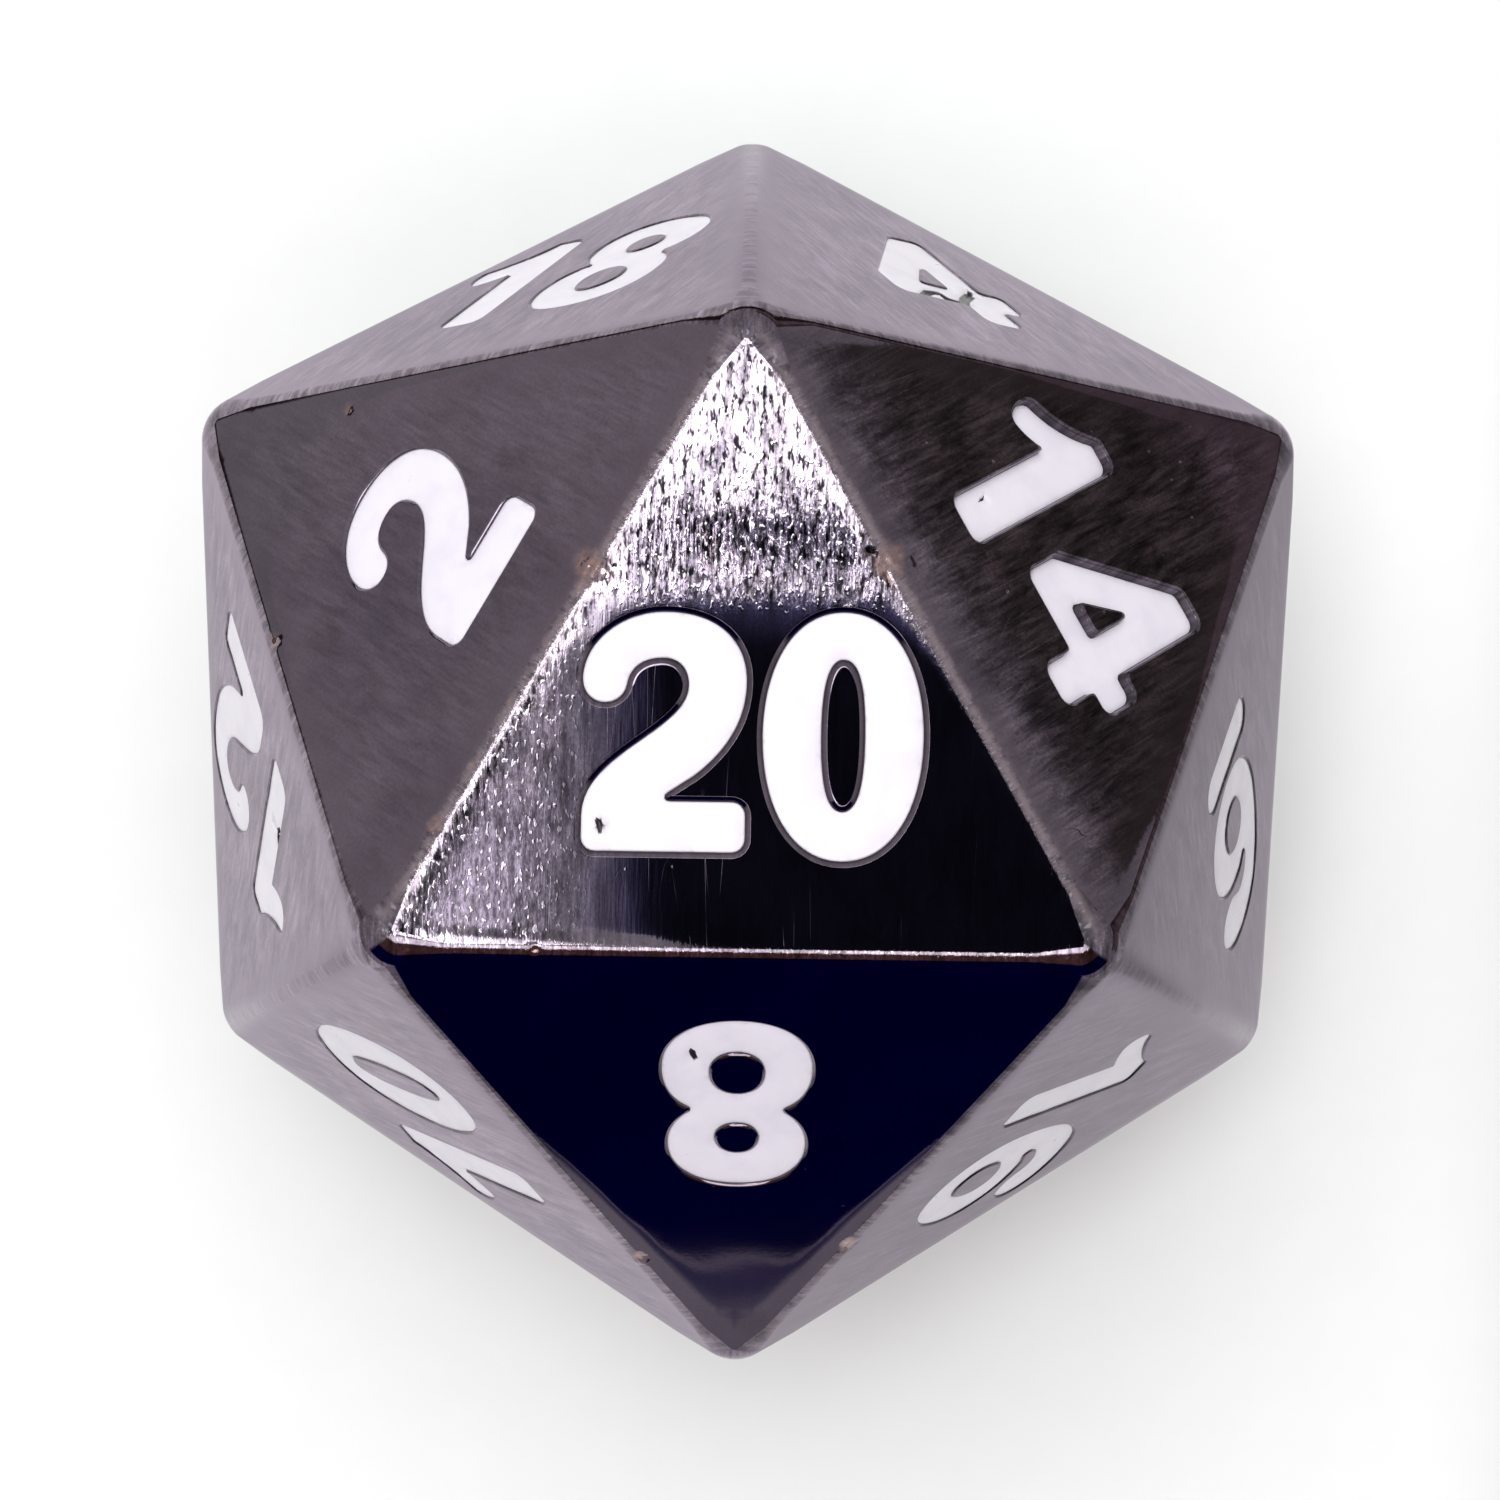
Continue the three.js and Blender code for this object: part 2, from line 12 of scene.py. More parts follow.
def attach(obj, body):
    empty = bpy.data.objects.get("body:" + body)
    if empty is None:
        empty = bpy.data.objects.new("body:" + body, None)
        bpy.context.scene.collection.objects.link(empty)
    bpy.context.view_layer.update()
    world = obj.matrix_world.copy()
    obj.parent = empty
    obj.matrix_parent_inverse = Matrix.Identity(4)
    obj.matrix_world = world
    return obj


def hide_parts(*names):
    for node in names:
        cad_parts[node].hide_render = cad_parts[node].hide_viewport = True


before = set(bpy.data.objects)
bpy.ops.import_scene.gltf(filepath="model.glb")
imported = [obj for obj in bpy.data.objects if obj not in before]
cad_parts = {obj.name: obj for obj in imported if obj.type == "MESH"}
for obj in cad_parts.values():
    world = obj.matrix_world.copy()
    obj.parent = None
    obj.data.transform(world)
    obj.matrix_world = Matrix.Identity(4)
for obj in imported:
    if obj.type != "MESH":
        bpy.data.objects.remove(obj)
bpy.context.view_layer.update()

MM = 0.001

# ---- sizes, in millimetres ------------------------------------------------

ACROSS_FACES = 20.0
HALF = ACROSS_FACES / 2
PHI = (1 + math.sqrt(5)) / 2
EDGE = ACROSS_FACES * math.sqrt(3) / PHI ** 2
EDGE_RADIUS = 0.4
CORNER_RADIUS = 0.9
EDGE_RUN = 1.2

ROUND_STEPS = 8         # flats across a rounded edge
TAPER_STEPS = 3         # rows from a corner's ball cap to the straight bead
BEAD_STEPS = 110        # rows along the straight bead
PILLOW_TILT = 0.17      # how far polishing has rolled the faces off to the edges
PILLOW_WIDTH = 0.15     # how wide that rolled-off margin is
FRONT_WIDTH = 0.21      # and how wide at the front of the die
PILLOW_DROP = 0.012
WEAR_WIDTH = 0.08       # width of the rubbed line along an edge

WALL_AT = 0.02          # pocket wall, outside the digit outline
WALL_SLOPE = 5.5
LIP_ROUNDING = 0.02     # the worn lip is this much wider than it is deep
LIP_CURVE = 1.3
POCKET_DEPTH = 0.45
ENAMEL_LOW = 0.03       # enamel below the face, where it was filled to the brim
ENAMEL_CROWN = 0.03
LIP = 0.02

DIGIT_HEIGHT = 4.1
DIGIT_SPACE = 0.32
SPACE_AFTER_ONE = 0.86
TIP_RADIUS = 0.22
NOTCH_RADIUS = 0.09
OUTLINE_STEP = 0.07
BEZIER_STEPS = 20
TIP_STEPS = 8
UNDERLINE_SIZE = (2.8, 0.84)
UNDERLINE_DROP = 0.32

# How fine the meshes are: spacing and reach of the points over a face and over
# a digit's enamel, their spacing round a knock, and then rows inside a face's
# outline, across a worn lip and inside a digit.
FACE_GRID = (0.42, 8.0)
FILL_GRID = (0.17, 3.4)
KNOCK_GRID = 0.07
MARGIN_ROWS = (0.985, 0.965, 0.94, 0.91, 0.87, 0.82)
LIP_ROWS = (0.05, 0.5, 0.8, 0.93, 1.0, 1.3)
FILL_ROWS = (-0.02, -0.06, -0.12, -0.2)
CLEAR_OF_LIP = 0.06

# ---- the sharp solid ------------------------------------------------------


def ring_point(radius, degrees, height):
    angle = math.radians(degrees)
    return np.array([radius * math.cos(angle), radius * math.sin(angle), height])


SMALL_RING = EDGE / math.sqrt(3)
LARGE_RING = SMALL_RING * PHI
MID_HEIGHT = HALF / PHI ** 3

CORNERS = {
    "topNorth": ring_point(SMALL_RING, 90, HALF),
    "topWest": ring_point(SMALL_RING, 210, HALF),
    "topEast": ring_point(SMALL_RING, 330, HALF),
    "upperEast": ring_point(LARGE_RING, 30, MID_HEIGHT),
    "upperWest": ring_point(LARGE_RING, 150, MID_HEIGHT),
    "upperSouth": ring_point(LARGE_RING, 270, MID_HEIGHT),
    "lowerNorth": ring_point(LARGE_RING, 90, -MID_HEIGHT),
    "lowerWest": ring_point(LARGE_RING, 210, -MID_HEIGHT),
    "lowerEast": ring_point(LARGE_RING, 330, -MID_HEIGHT),
    "baseSouth": ring_point(SMALL_RING, 270, -HALF),
    "baseEast": ring_point(SMALL_RING, 30, -HALF),
    "baseWest": ring_point(SMALL_RING, 150, -HALF),
}

# Numeral, the corner its top points to and the face's other two, its shift
# right and up from the middle of the face, and how scuffed the face is.
FACES = [
    ("20", "topNorth", "topWest", "topEast", (0.2, 0.05), 1.0),
    ("14", "upperEast", "topNorth", "topEast", (0.0, 0.35), 0.6),
    ("8", "upperSouth", "topEast", "topWest", (0.0, 0.05), 0.04),
    ("2", "upperWest", "topWest", "topNorth", (0.2, 0.15), 0.15),
    ("18", "lowerNorth", "upperWest", "topNorth", (-0.3, 0.5), 0.4),
    ("4", "lowerNorth", "topNorth", "upperEast", (0.2, 0.5), 0.4),
    ("12", "lowerWest", "topWest", "upperWest", (0.3, 0.1), 0.5),
    ("10", "lowerWest", "upperSouth", "topWest", (-0.2, 0.3), 0.4),
    ("16", "lowerEast", "topEast", "upperSouth", (0.1, 0.2), 0.4),
    ("6", "lowerEast", "upperEast", "topEast", (-0.2, 1.5), 0.4),
    ("1", "baseSouth", "baseEast", "baseWest", (0.0, 0.1), 0.6),
    ("7", "lowerWest", "baseSouth", "baseWest", (0.1, 0.0), 0.5),
    ("13", "lowerNorth", "baseEast", "baseWest", (0.0, 0.1), 0.6),
    ("19", "lowerEast", "baseEast", "baseSouth", (0.1, 0.1), 0.5),
    ("3", "upperSouth", "lowerEast", "baseSouth", (0.0, 0.1), 0.4),
    ("17", "upperSouth", "baseSouth", "lowerWest", (0.0, 0.1), 0.5),
    ("9", "upperEast", "baseEast", "lowerEast", (0.1, 1.4), 0.6),
    ("11", "upperEast", "lowerNorth", "baseEast", (-0.1, 0.1), 0.5),
    ("5", "upperWest", "baseWest", "lowerNorth", (0.0, 0.0), 0.4),
    ("15", "upperWest", "lowerWest", "baseWest", (0.0, 0.1), 0.5),
]

# Where faces are not like the rest: how low the enamel lies and how deep the
# worn lip round it is, and painted shade in the plating: 6, 16 and 14 darker
# and 2 lighter, for the darker or brighter things these faces mirror.
DEPTHS = {"20": (0.10, 0.08), "14": (0.20, 0.03), "8": (0.05, 0.03), "2": (0.06, 0.03)}
PAINTED_SHADES = {"6": 0.56, "16": 0.54, "14": 0.88, "2": 1.05}


def unit(vector):
    return vector / np.linalg.norm(vector)


class Face:
    """A face's numeral and its own frame: x right, y up the numeral, z out."""

    def __init__(self, row):
        self.text, *names, self.shift, self.scuff = row
        self.low, self.lip = DEPTHS.get(self.text, (ENAMEL_LOW, LIP))
        self.painted_shade = PAINTED_SHADES.get(self.text, 1.0)
        self.points = [CORNERS[name] for name in names]
        self.centre = sum(self.points) / 3
        self.normal = unit(self.centre)
        self.up = unit(self.points[0] - self.centre)
        self.right = np.cross(self.up, self.normal)

    def flatten(self, points):
        local = np.asarray(points) - self.centre
        return np.stack([local @ self.right, local @ self.up], axis=-1)

    def place(self, flat, heights):
        x, y = flat.T
        lifted = np.outer(heights, self.normal)
        return self.centre + np.outer(x, self.right) + np.outer(y, self.up) + lifted

    def turn(self, slopes_x, slopes_y):
        """Unit normals of a surface over this face with the given slopes."""
        normals = self.normal - np.outer(slopes_x, self.right) - np.outer(slopes_y, self.up)
        return normals / np.linalg.norm(normals, axis=1)[:, None]


faces = [Face(row) for row in FACES]
face_normals = np.array([face.normal for face in faces])

# ---- the digits -----------------------------------------------------------

# Outlines in millimetres with the baseline at y = 0. Two numbers are a
# straight line to a point, six a Bezier curve. The first outline is the
# outside of the digit, the others are the islands of metal inside it.
DIGITS = {
    "0": (2.81, [
        [(0, 2.05), (0, 0.85, 0.5, -0.13, 1.4, -0.13), (2.31, -0.13, 2.81, 0.85, 2.81, 2.05),
         (2.81, 3.25, 2.31, 4.23, 1.4, 4.23), (0.5, 4.23, 0, 3.25, 0, 2.05)],
        [(1, 2.07), (1, 2.9, 1.1, 3.43, 1.4, 3.43), (1.71, 3.43, 1.81, 2.9, 1.81, 2.07),
         (1.81, 1.24, 1.71, 0.71, 1.4, 0.71), (1.1, 0.71, 1, 1.24, 1, 2.07)],
    ]),
    "1": (1.9, [
        [(0.95, 0), (1.9, 0), (1.9, 4.1), (1.3, 4.1), (0.98, 3.62, 0.6, 3.3, 0.12, 3.1),
         (-0.1, 2.98, -0.02, 2.36, 0.3, 2.44), (0.55, 2.5, 0.75, 2.62, 0.95, 2.78)],
    ]),
    "2": (2.86, [
        [(0, 0), (2.86, 0), (2.86, 0.86), (1.22, 0.86), (1.98, 1.36),
         (2.5, 1.78, 2.86, 2.3, 2.86, 3), (2.86, 3.75, 2.3, 4.2, 1.45, 4.2),
         (0.65, 4.2, 0.02, 3.65, 0, 3.04), (0, 2.5, 0.68, 2.5, 0.75, 2.94),
         (0.8, 3.27, 1.08, 3.42, 1.4, 3.42), (1.72, 3.42, 1.87, 3.2, 1.87, 2.92),
         (1.87, 2.1, 0, 1.7, 0, 0.6)],
    ]),
    "3": (2.7, [
        [(0.02, 0.95), (0.1, 0.3, 0.65, -0.1, 1.33, -0.1), (2.15, -0.1, 2.7, 0.4, 2.7, 1.15),
         (2.7, 1.62, 2.52, 1.98, 2.22, 2.13), (2.12, 2.18, 2.12, 2.26, 2.2, 2.31),
         (2.46, 2.48, 2.6, 2.78, 2.6, 3.12), (2.6, 3.8, 2.05, 4.2, 1.33, 4.2),
         (0.7, 4.2, 0.2, 3.85, 0.08, 3.3), (0, 2.82, 0.68, 2.72, 0.85, 3.12),
         (0.93, 3.34, 1.08, 3.42, 1.3, 3.42), (1.6, 3.42, 1.75, 3.27, 1.75, 3.03),
         (1.75, 2.75, 1.55, 2.6, 1.22, 2.6), (0.72, 2.6, 0.72, 1.82, 1.22, 1.82),
         (1.62, 1.82, 1.82, 1.62, 1.82, 1.27), (1.82, 0.93, 1.62, 0.7, 1.3, 0.7),
         (1.05, 0.7, 0.88, 0.82, 0.82, 1.04), (0.68, 1.46, -0.02, 1.36, 0.02, 0.95)],
    ]),
    "4": (3.0, [
        [(1.64, 0), (2.47, 0), (2.47, 0.8), (3, 0.8), (3, 1.66), (2.47, 1.66), (2.47, 4.1),
         (1.72, 4.1), (0, 1.7), (0, 0.8), (1.64, 0.8)],
        [(1.64, 1.52), (0.88, 1.52), (1.64, 2.72)],
    ]),
    "5": (2.75, [
        [(0.35, 4.1), (0.16, 1.86), (0.88, 1.78), (1, 1.92, 1.14, 1.98, 1.32, 1.98),
         (1.66, 1.98, 1.85, 1.74, 1.85, 1.35), (1.85, 0.95, 1.65, 0.7, 1.3, 0.7),
         (1.05, 0.7, 0.88, 0.82, 0.82, 1.02), (0.66, 1.42, -0.04, 1.28, 0.02, 0.82),
         (0.12, 0.25, 0.6, -0.1, 1.3, -0.1), (2.15, -0.1, 2.75, 0.5, 2.75, 1.38),
         (2.75, 2.2, 2.3, 2.76, 1.6, 2.76), (1.4, 2.76, 1.25, 2.72, 1.1, 2.64),
         (1.16, 3.26), (2.5, 3.26), (2.5, 4.1)],
    ]),
    "6": (2.74, [
        [(0, 1.6), (0, 0.6, 0.55, -0.1, 1.4, -0.1), (2.2, -0.1, 2.74, 0.5, 2.74, 1.3),
         (2.74, 2.05, 2.2, 2.6, 1.5, 2.6), (1.42, 2.6, 1.36, 2.6, 1.3, 2.58), (1, 2.42),
         (0.86, 2.54), (0.98, 2.82), (1.08, 2.98, 1.26, 3.1, 1.5, 3.1),
         (1.75, 3.1, 1.85, 2.82, 2.1, 2.8), (2.65, 2.72, 2.85, 3.2, 2.6, 3.6),
         (2.4, 3.95, 2, 4.1, 1.55, 4.1), (0.55, 4.1, 0, 3, 0, 1.6)],
        [(0.83, 1.25), (0.83, 1.6, 1.05, 1.88, 1.38, 1.88), (1.72, 1.88, 1.9, 1.6, 1.9, 1.27),
         (1.9, 0.9, 1.72, 0.62, 1.38, 0.62), (1.04, 0.62, 0.83, 0.9, 0.83, 1.25)],
    ]),
    "7": (2.7, [
        [(0.45, 0), (1.42, 0), (1.6, 1.3, 2, 2.3, 2.7, 3.3), (2.7, 4.1), (0, 4.1), (0, 3.24),
         (1.62, 3.24), (1, 2.3, 0.6, 1.3, 0.45, 0)],
    ]),
    "8": (2.71, [
        [(0, 1.12), (0, 0.35, 0.55, -0.1, 1.35, -0.1), (2.15, -0.1, 2.71, 0.35, 2.71, 1.12),
         (2.71, 1.6, 2.54, 1.96, 2.26, 2.12), (2.16, 2.18, 2.16, 2.25, 2.25, 2.31),
         (2.48, 2.5, 2.61, 2.78, 2.61, 3.12), (2.61, 3.8, 2.1, 4.2, 1.35, 4.2),
         (0.6, 4.2, 0.1, 3.8, 0.1, 3.12), (0.1, 2.78, 0.23, 2.5, 0.46, 2.31),
         (0.55, 2.25, 0.55, 2.18, 0.45, 2.12), (0.17, 1.96, 0, 1.6, 0, 1.12)],
        [(0.83, 1.24), (0.83, 1.58, 1.05, 1.8, 1.35, 1.8), (1.66, 1.8, 1.88, 1.58, 1.88, 1.24),
         (1.88, 0.9, 1.66, 0.68, 1.35, 0.68), (1.05, 0.68, 0.83, 0.9, 0.83, 1.24)],
        [(0.93, 2.96), (0.93, 3.2, 1.1, 3.38, 1.35, 3.38), (1.61, 3.38, 1.78, 3.2, 1.78, 2.96),
         (1.78, 2.73, 1.61, 2.55, 1.35, 2.55), (1.1, 2.55, 0.93, 2.73, 0.93, 2.96)],
    ]),
}


def turned_over(digit):
    width, outlines = digit
    flip = lambda step: tuple(4 - v if i % 2 else width - v for i, v in enumerate(step))
    return width, [[flip(step) for step in path] for path in outlines]


def underline_digit():
    length, height = UNDERLINE_SIZE
    end = height * 0.55
    return length, [[
        (end, 0),
        (length - end, 0),
        (length, 0, length, height, length - end, height),
        (end, height),
        (0, height, 0, 0, end, 0),
    ]]


DIGITS["9"] = turned_over(DIGITS["6"])
DIGITS["_"] = underline_digit()


def cross(a, b):
    return a[..., 0] * b[..., 1] - a[..., 1] * b[..., 0]


def loop_area(loop):
    return cross(loop, np.roll(loop, -1, axis=0)).sum() / 2


def path_points(path):
    points = [np.array(path[0], float)]
    for step in path[1:]:
        start = points[-1]
        end = np.array(step[-2:], float)
        if len(step) == 2:
            points.append(end)
            continue
        a, b = np.array(step[:2]), np.array(step[2:4])
        for k in range(1, BEZIER_STEPS + 1):
            t = k / BEZIER_STEPS
            s = 1 - t
            points.append(s ** 3 * start + 3 * s * s * t * a + 3 * s * t * t * b + t ** 3 * end)
    if np.linalg.norm(points[-1] - points[0]) < 1e-6:
        points.pop()
    return np.array(points)


def soften_corners(points):
    """Rounds the hard corners: tips where the digit sticks out, notches where metal does."""
    soft = []
    for i, here in enumerate(points):
        arriving = here - points[i - 1]
        leaving = points[(i + 1) % len(points)] - here
        turn = math.atan2(cross(arriving, leaving), arriving @ leaving)
        if abs(turn) < math.pi / 5:
            soft.append(here)
            continue
        half = math.tan(abs(turn) / 2)
        room = 0.48 * min(np.linalg.norm(arriving), np.linalg.norm(leaving))
        reach = min((TIP_RADIUS if turn > 0 else NOTCH_RADIUS) * half, room)
        radius = math.copysign(reach / half, turn)
        along = unit(arriving)
        side = np.array([-along[1], along[0]])
        centre = here - along * reach + side * radius
        for k in range(TIP_STEPS + 1):
            angle = turn * k / TIP_STEPS
            spoke = -side * radius
            c, s = math.cos(angle), math.sin(angle)
            soft.append(centre + np.array([c * spoke[0] - s * spoke[1], s * spoke[0] + c * spoke[1]]))
    return np.array(soft)


def even_steps(loop, step):
    """The same loop with its points evenly spaced along it."""
    closed = np.vstack([loop, loop[:1]])
    lengths = np.linalg.norm(np.diff(closed, axis=0), axis=1)
    along = np.concatenate([[0], np.cumsum(lengths)])
    count = max(12, round(along[-1] / step))
    at = np.arange(count) * along[-1] / count
    return np.stack([np.interp(at, along, closed[:, k]) for k in (0, 1)], axis=1)


def digit_loops(character, offset):
    """A digit's outlines at their place on the face, the enamel always on the left."""
    loops = []
    for i, path in enumerate(DIGITS[character][1]):
        points = path_points(path)
        if (loop_area(points) > 0) != (i == 0):
            points = points[::-1]
        loops.append(even_steps(soften_corners(points), OUTLINE_STEP) + offset)
    return loops


def distance_to(points, loops):
    """Signed distance to the outlines, negative in the enamel, and its direction."""
    nearest = np.full(len(points), np.inf)
    direction = np.zeros((len(points), 2))
    inside = np.zeros(len(points), bool)
    for loop in loops:
        following = np.roll(loop, -1, axis=0)
        side = following - loop
        offset = points[:, None] - loop
        along = ((offset * side).sum(-1) / (side * side).sum(-1)).clip(0, 1)
        away = offset - along[..., None] * side
        squared = (away ** 2).sum(-1)
        k = squared.argmin(1)
        rows = np.arange(len(points))
        closer = squared[rows, k] < nearest
        nearest = np.where(closer, squared[rows, k], nearest)
        direction = np.where(closer[:, None], away[rows, k], direction)
        above = loop[:, 1] > points[:, None, 1]
        crosses = above != (following[:, 1] > points[:, None, 1])
        with np.errstate(divide="ignore", invalid="ignore"):
            x = loop[:, 0] + (points[:, None, 1] - loop[:, 1]) * side[:, 0] / side[:, 1]
        inside ^= ((crosses & (points[:, None, 0] < x)).sum(1) % 2).astype(bool)
    distance = np.sqrt(nearest)
    sign = np.where(inside, -1.0, 1.0)
    direction = direction / np.maximum(distance, 1e-9)[:, None] * sign[:, None]
    return distance * sign, direction


def offset_loop(loop, loops, distance):
    """A loop moved outwards from the enamel, with the folded-over points dropped."""
    tangent = np.roll(loop, -1, axis=0) - np.roll(loop, 1, axis=0)
    tangent /= np.linalg.norm(tangent, axis=1)[:, None]
    moved = loop + distance * np.stack([tangent[:, 1], -tangent[:, 0]], axis=1)
    found, _ = distance_to(moved, loops)
    kept = moved[abs(found) > abs(distance) - 0.004] if distance else moved
    clean = []
    for point in kept:
        if not clean or np.linalg.norm(point - clean[-1]) > 0.02:
            clean.append(point)
    return np.array(clean)


def offset_loops(loops, distances):
    return [offset_loop(loop, loops, distance) for distance in distances for loop in loops]


def numeral_pieces(face):
    """The digits of a face's numeral: CAD node, character and place."""
    x = 0.0
    pieces = []
    for i, character in enumerate(face.text):
        place = ("_tens", "_ones")[i] if len(face.text) > 1 else ""
        pieces.append([f"enamel_{face.text}{place}", character, x, 0.0])
        x += DIGITS[character][0]
        if i + 1 < len(face.text):
            x += SPACE_AFTER_ONE if character == "1" else DIGIT_SPACE
    if face.text in ("6", "9"):
        width, height = UNDERLINE_SIZE
        pieces.append([f"underline_{face.text}", "_", (x - width) / 2 - 0.1, -UNDERLINE_DROP - height])
    for piece in pieces:
        piece[2] += face.shift[0] - x / 2
        piece[3] += face.shift[1] - DIGIT_HEIGHT / 2
    return pieces


# ---- surface shapes -------------------------------------------------------


def pocket_profile(distance, lip):
    """Height and slope of the metal at a distance outside a digit's outline."""
    width = lip + LIP_ROUNDING
    left = (1 - (distance - WALL_AT) / width).clip(0, 1)
    height = -lip * left ** LIP_CURVE
    slope = lip * LIP_CURVE * left ** (LIP_CURVE - 1) / width
    slope = np.where(left > 0, slope, 0.0)
    wall = distance < WALL_AT
    wall_height = -lip + (distance - WALL_AT) * WALL_SLOPE
    height = np.where(wall, wall_height, height)
    slope = np.where(wall, WALL_SLOPE, slope)
    floor = height < -POCKET_DEPTH
    return np.where(floor, -POCKET_DEPTH, height), np.where(floor, 0.0, slope)


def below_next_face(points):
    """Depth below the plane of the second nearest face, which is 0 on the sharp edges."""
    return HALF - np.sort(points @ face_normals.T, axis=1)[:, -2]


def edge_nearness(points):
    """1 on the edges and corners of the die, falling to 0 towards the faces' middles."""
    front = ((-4.5 - points[:, 1]) / 3.0).clip(0, 1)
    width = PILLOW_WIDTH + (FRONT_WIDTH - PILLOW_WIDTH) * front
    return np.exp(-((below_next_face(points) / width) ** 2))


def recess_depth(points):
    """1 down in the numeral pockets, 0 on the faces."""
    depth = HALF - (points @ face_normals.T).max(1)
    near_edge = edge_nearness(points)
    return np.where(near_edge > 0.01, 0.0, ((depth - 0.03) / 0.06).clip(0, 1))


def edge_wear(points):
    """How rubbed the edges are, most of all round the 20."""
    narrow = np.exp(-((below_next_face(points) / WEAR_WIDTH) ** 2))
    top = ((points[:, 2] - (HALF - 0.6)) / 0.4).clip(0, 1)
    front = ((points[:, 1] + 3.9) / 0.9).clip(0, 1)
    return narrow * (0.15 + 0.85 * top * front)


def glitter(points, scuffs):
    """How far the plating of the 20 has broken up into specks; 0 on the other faces."""
    top = points[:, 2] > HALF - 0.05
    return np.where(top, ((scuffs - 0.30) / 0.50).clip(0, 1), 0.0)


def rolled_off(points, normals):
    """Tilts the normals outwards near the edges, as polishing leaves them."""
    outwards = points / np.linalg.norm(points, axis=1)[:, None]
    tangential = outwards - (outwards * normals).sum(1)[:, None] * normals
    tilted = normals + PILLOW_TILT * edge_nearness(points)[:, None] * tangential
    return tilted / np.linalg.norm(tilted, axis=1)[:, None]


def triangulate(loops, loose):
    """Delaunay triangles over the loops' points, with the loops' sides kept."""
    points = []
    sides = []
    for loop in loops:
        start = len(points)
        points.extend(loop)
        sides.extend((start + i, start + (i + 1) % len(loop)) for i in range(len(loop)))
    points.extend(loose)
    flat, _, triangles, *_ = delaunay_2d_cdt([Vector(p) for p in points], sides, [], 0, 1e-6)
    flat = np.array([tuple(p) for p in flat])
    triangles = np.array([t for t in triangles if len(t) == 3])
    a, b, c = (flat[triangles[:, k]] for k in range(3))
    area = cross(b - a, c - a)
    triangles[area < 0] = triangles[area < 0][:, ::-1]
    return flat, triangles[abs(area) > 2e-6]


def hex_grid(spacing, reach):
    rows = []
    count = int(reach / spacing) + 1
    for j in range(-count, count + 1):
        shift = 0.5 * spacing * (j % 2)
        for i in range(-count, count + 1):
            rows.append((i * spacing + shift, j * spacing * 0.866))
    return np.array(rows)


# ---- the casting ----------------------------------------------------------


def turn_towards(a, b, t):
    angle = math.acos(max(-1.0, min(1.0, float(a @ b))))
    if angle < 1e-9:
        return a
    return (a * math.sin((1 - t) * angle) + b * math.sin(t * angle)) / math.sin(angle)


def edge_stations(corner, other):
    """Ball centres and radii of the rounding from one corner to the other."""
    bead = [point * (1 - EDGE_RADIUS / HALF) for point in (corner, other)]
    start, end = (a + (b - a) * EDGE_RUN / EDGE for a, b in (bead, bead[::-1]))

    def taper(point, bead_end):
        cap = point * (1 - CORNER_RADIUS / HALF)
        parts = np.arange(TAPER_STEPS) / TAPER_STEPS
        radii = CORNER_RADIUS + (EDGE_RADIUS - CORNER_RADIUS) * parts
        return [(cap + (bead_end - cap) * t, radius) for t, radius in zip(parts, radii)]

    straight = [(start + (end - start) * k / BEAD_STEPS, EDGE_RADIUS) for k in range(BEAD_STEPS + 1)]
    return taper(corner, start) + straight + taper(other, end)[::-1]


class Surface:
    """Collects patches of triangles that meet at shared points."""

    def __init__(self):
        self.patches = []
        self.count = 0

    def add(self, points, normals, triangles, uv, scuff, painted_shade):
        points, normals, triangles = (np.asarray(rows) for rows in (points, normals, triangles))
        a, b, c = (points[triangles[:, k]] for k in range(3))
        wrong = (np.cross(b - a, c - a) * normals[triangles[:, 0]]).sum(1) < 0
        triangles[wrong] = triangles[wrong][:, ::-1]
        uvs = np.asarray(uv)[triangles]
        scuffs, painted_shades = (value + np.zeros(len(points)) for value in (scuff, painted_shade))
        self.patches.append((points, normals, triangles + self.count, uvs, scuffs, painted_shades))
        self.count += len(points)

    def joined(self):
        """All the patches in one, with the points they share merged."""
        points, normals, triangles, uvs, scuffs, painted_shades = map(np.concatenate, zip(*self.patches))
        _, first, index = np.unique(np.round(points, 4), axis=0, return_index=True, return_inverse=True)
        triangles = index.reshape(-1)[triangles]
        a, b, c = triangles.T
        whole = (a != b) & (b != c) & (c != a)
        return points[first], normals[first], triangles[whole], uvs[whole], scuffs[first], painted_shades[first]


# Knocks on the edges: face, place on it, radius and depth.
DINGS = [
    ("20", -2.80, 3.02, 0.50, 0.05),
    ("20", 2.56, 3.21, 0.50, 0.05),
    ("20", -5.40, -1.60, 0.22, 0.06),
    ("20", -4.1, 0.62, 0.10, 0.03),
    ("20", -4.75, -0.55, 0.12, 0.03),
    ("20", -3.6, -3.8, 0.14, 0.03),
    ("2", 1.5, 3.85, 0.15, 0.02),
    ("12", 0.6, -4.0, 0.26, 0.05),
    ("10", -2.9, -3.85, 0.24, 0.04),
    ("16", 2.3, -3.85, 0.24, 0.04),
    ("13", 1.2, 3.9, 0.34, 0.06),
    ("17", 3.0, -1.9, 0.36, 0.07),
    ("9", -2.4, -3.8, 0.30, 0.06),
    ("15", -3.2, -1.4, 0.32, 0.06),
]


def knocks():
    """Middle, radius and depth of each knock."""
    by_text = {face.text: face for face in faces}
    for text, x, y, radius, depth in DINGS:
        yield by_text[text].place(np.array([[x, y]]), np.zeros(1)), radius, depth


def knock_points(face):
    """Extra points where the edges of this face have been knocked."""
    extra = [np.zeros((0, 2))]
    for middle, radius, _ in knocks():
        if abs((middle[0] - face.centre) @ face.normal) < radius:
            extra.append(hex_grid(KNOCK_GRID, radius * 1.2) + face.flatten(middle))
    return np.vstack(extra)


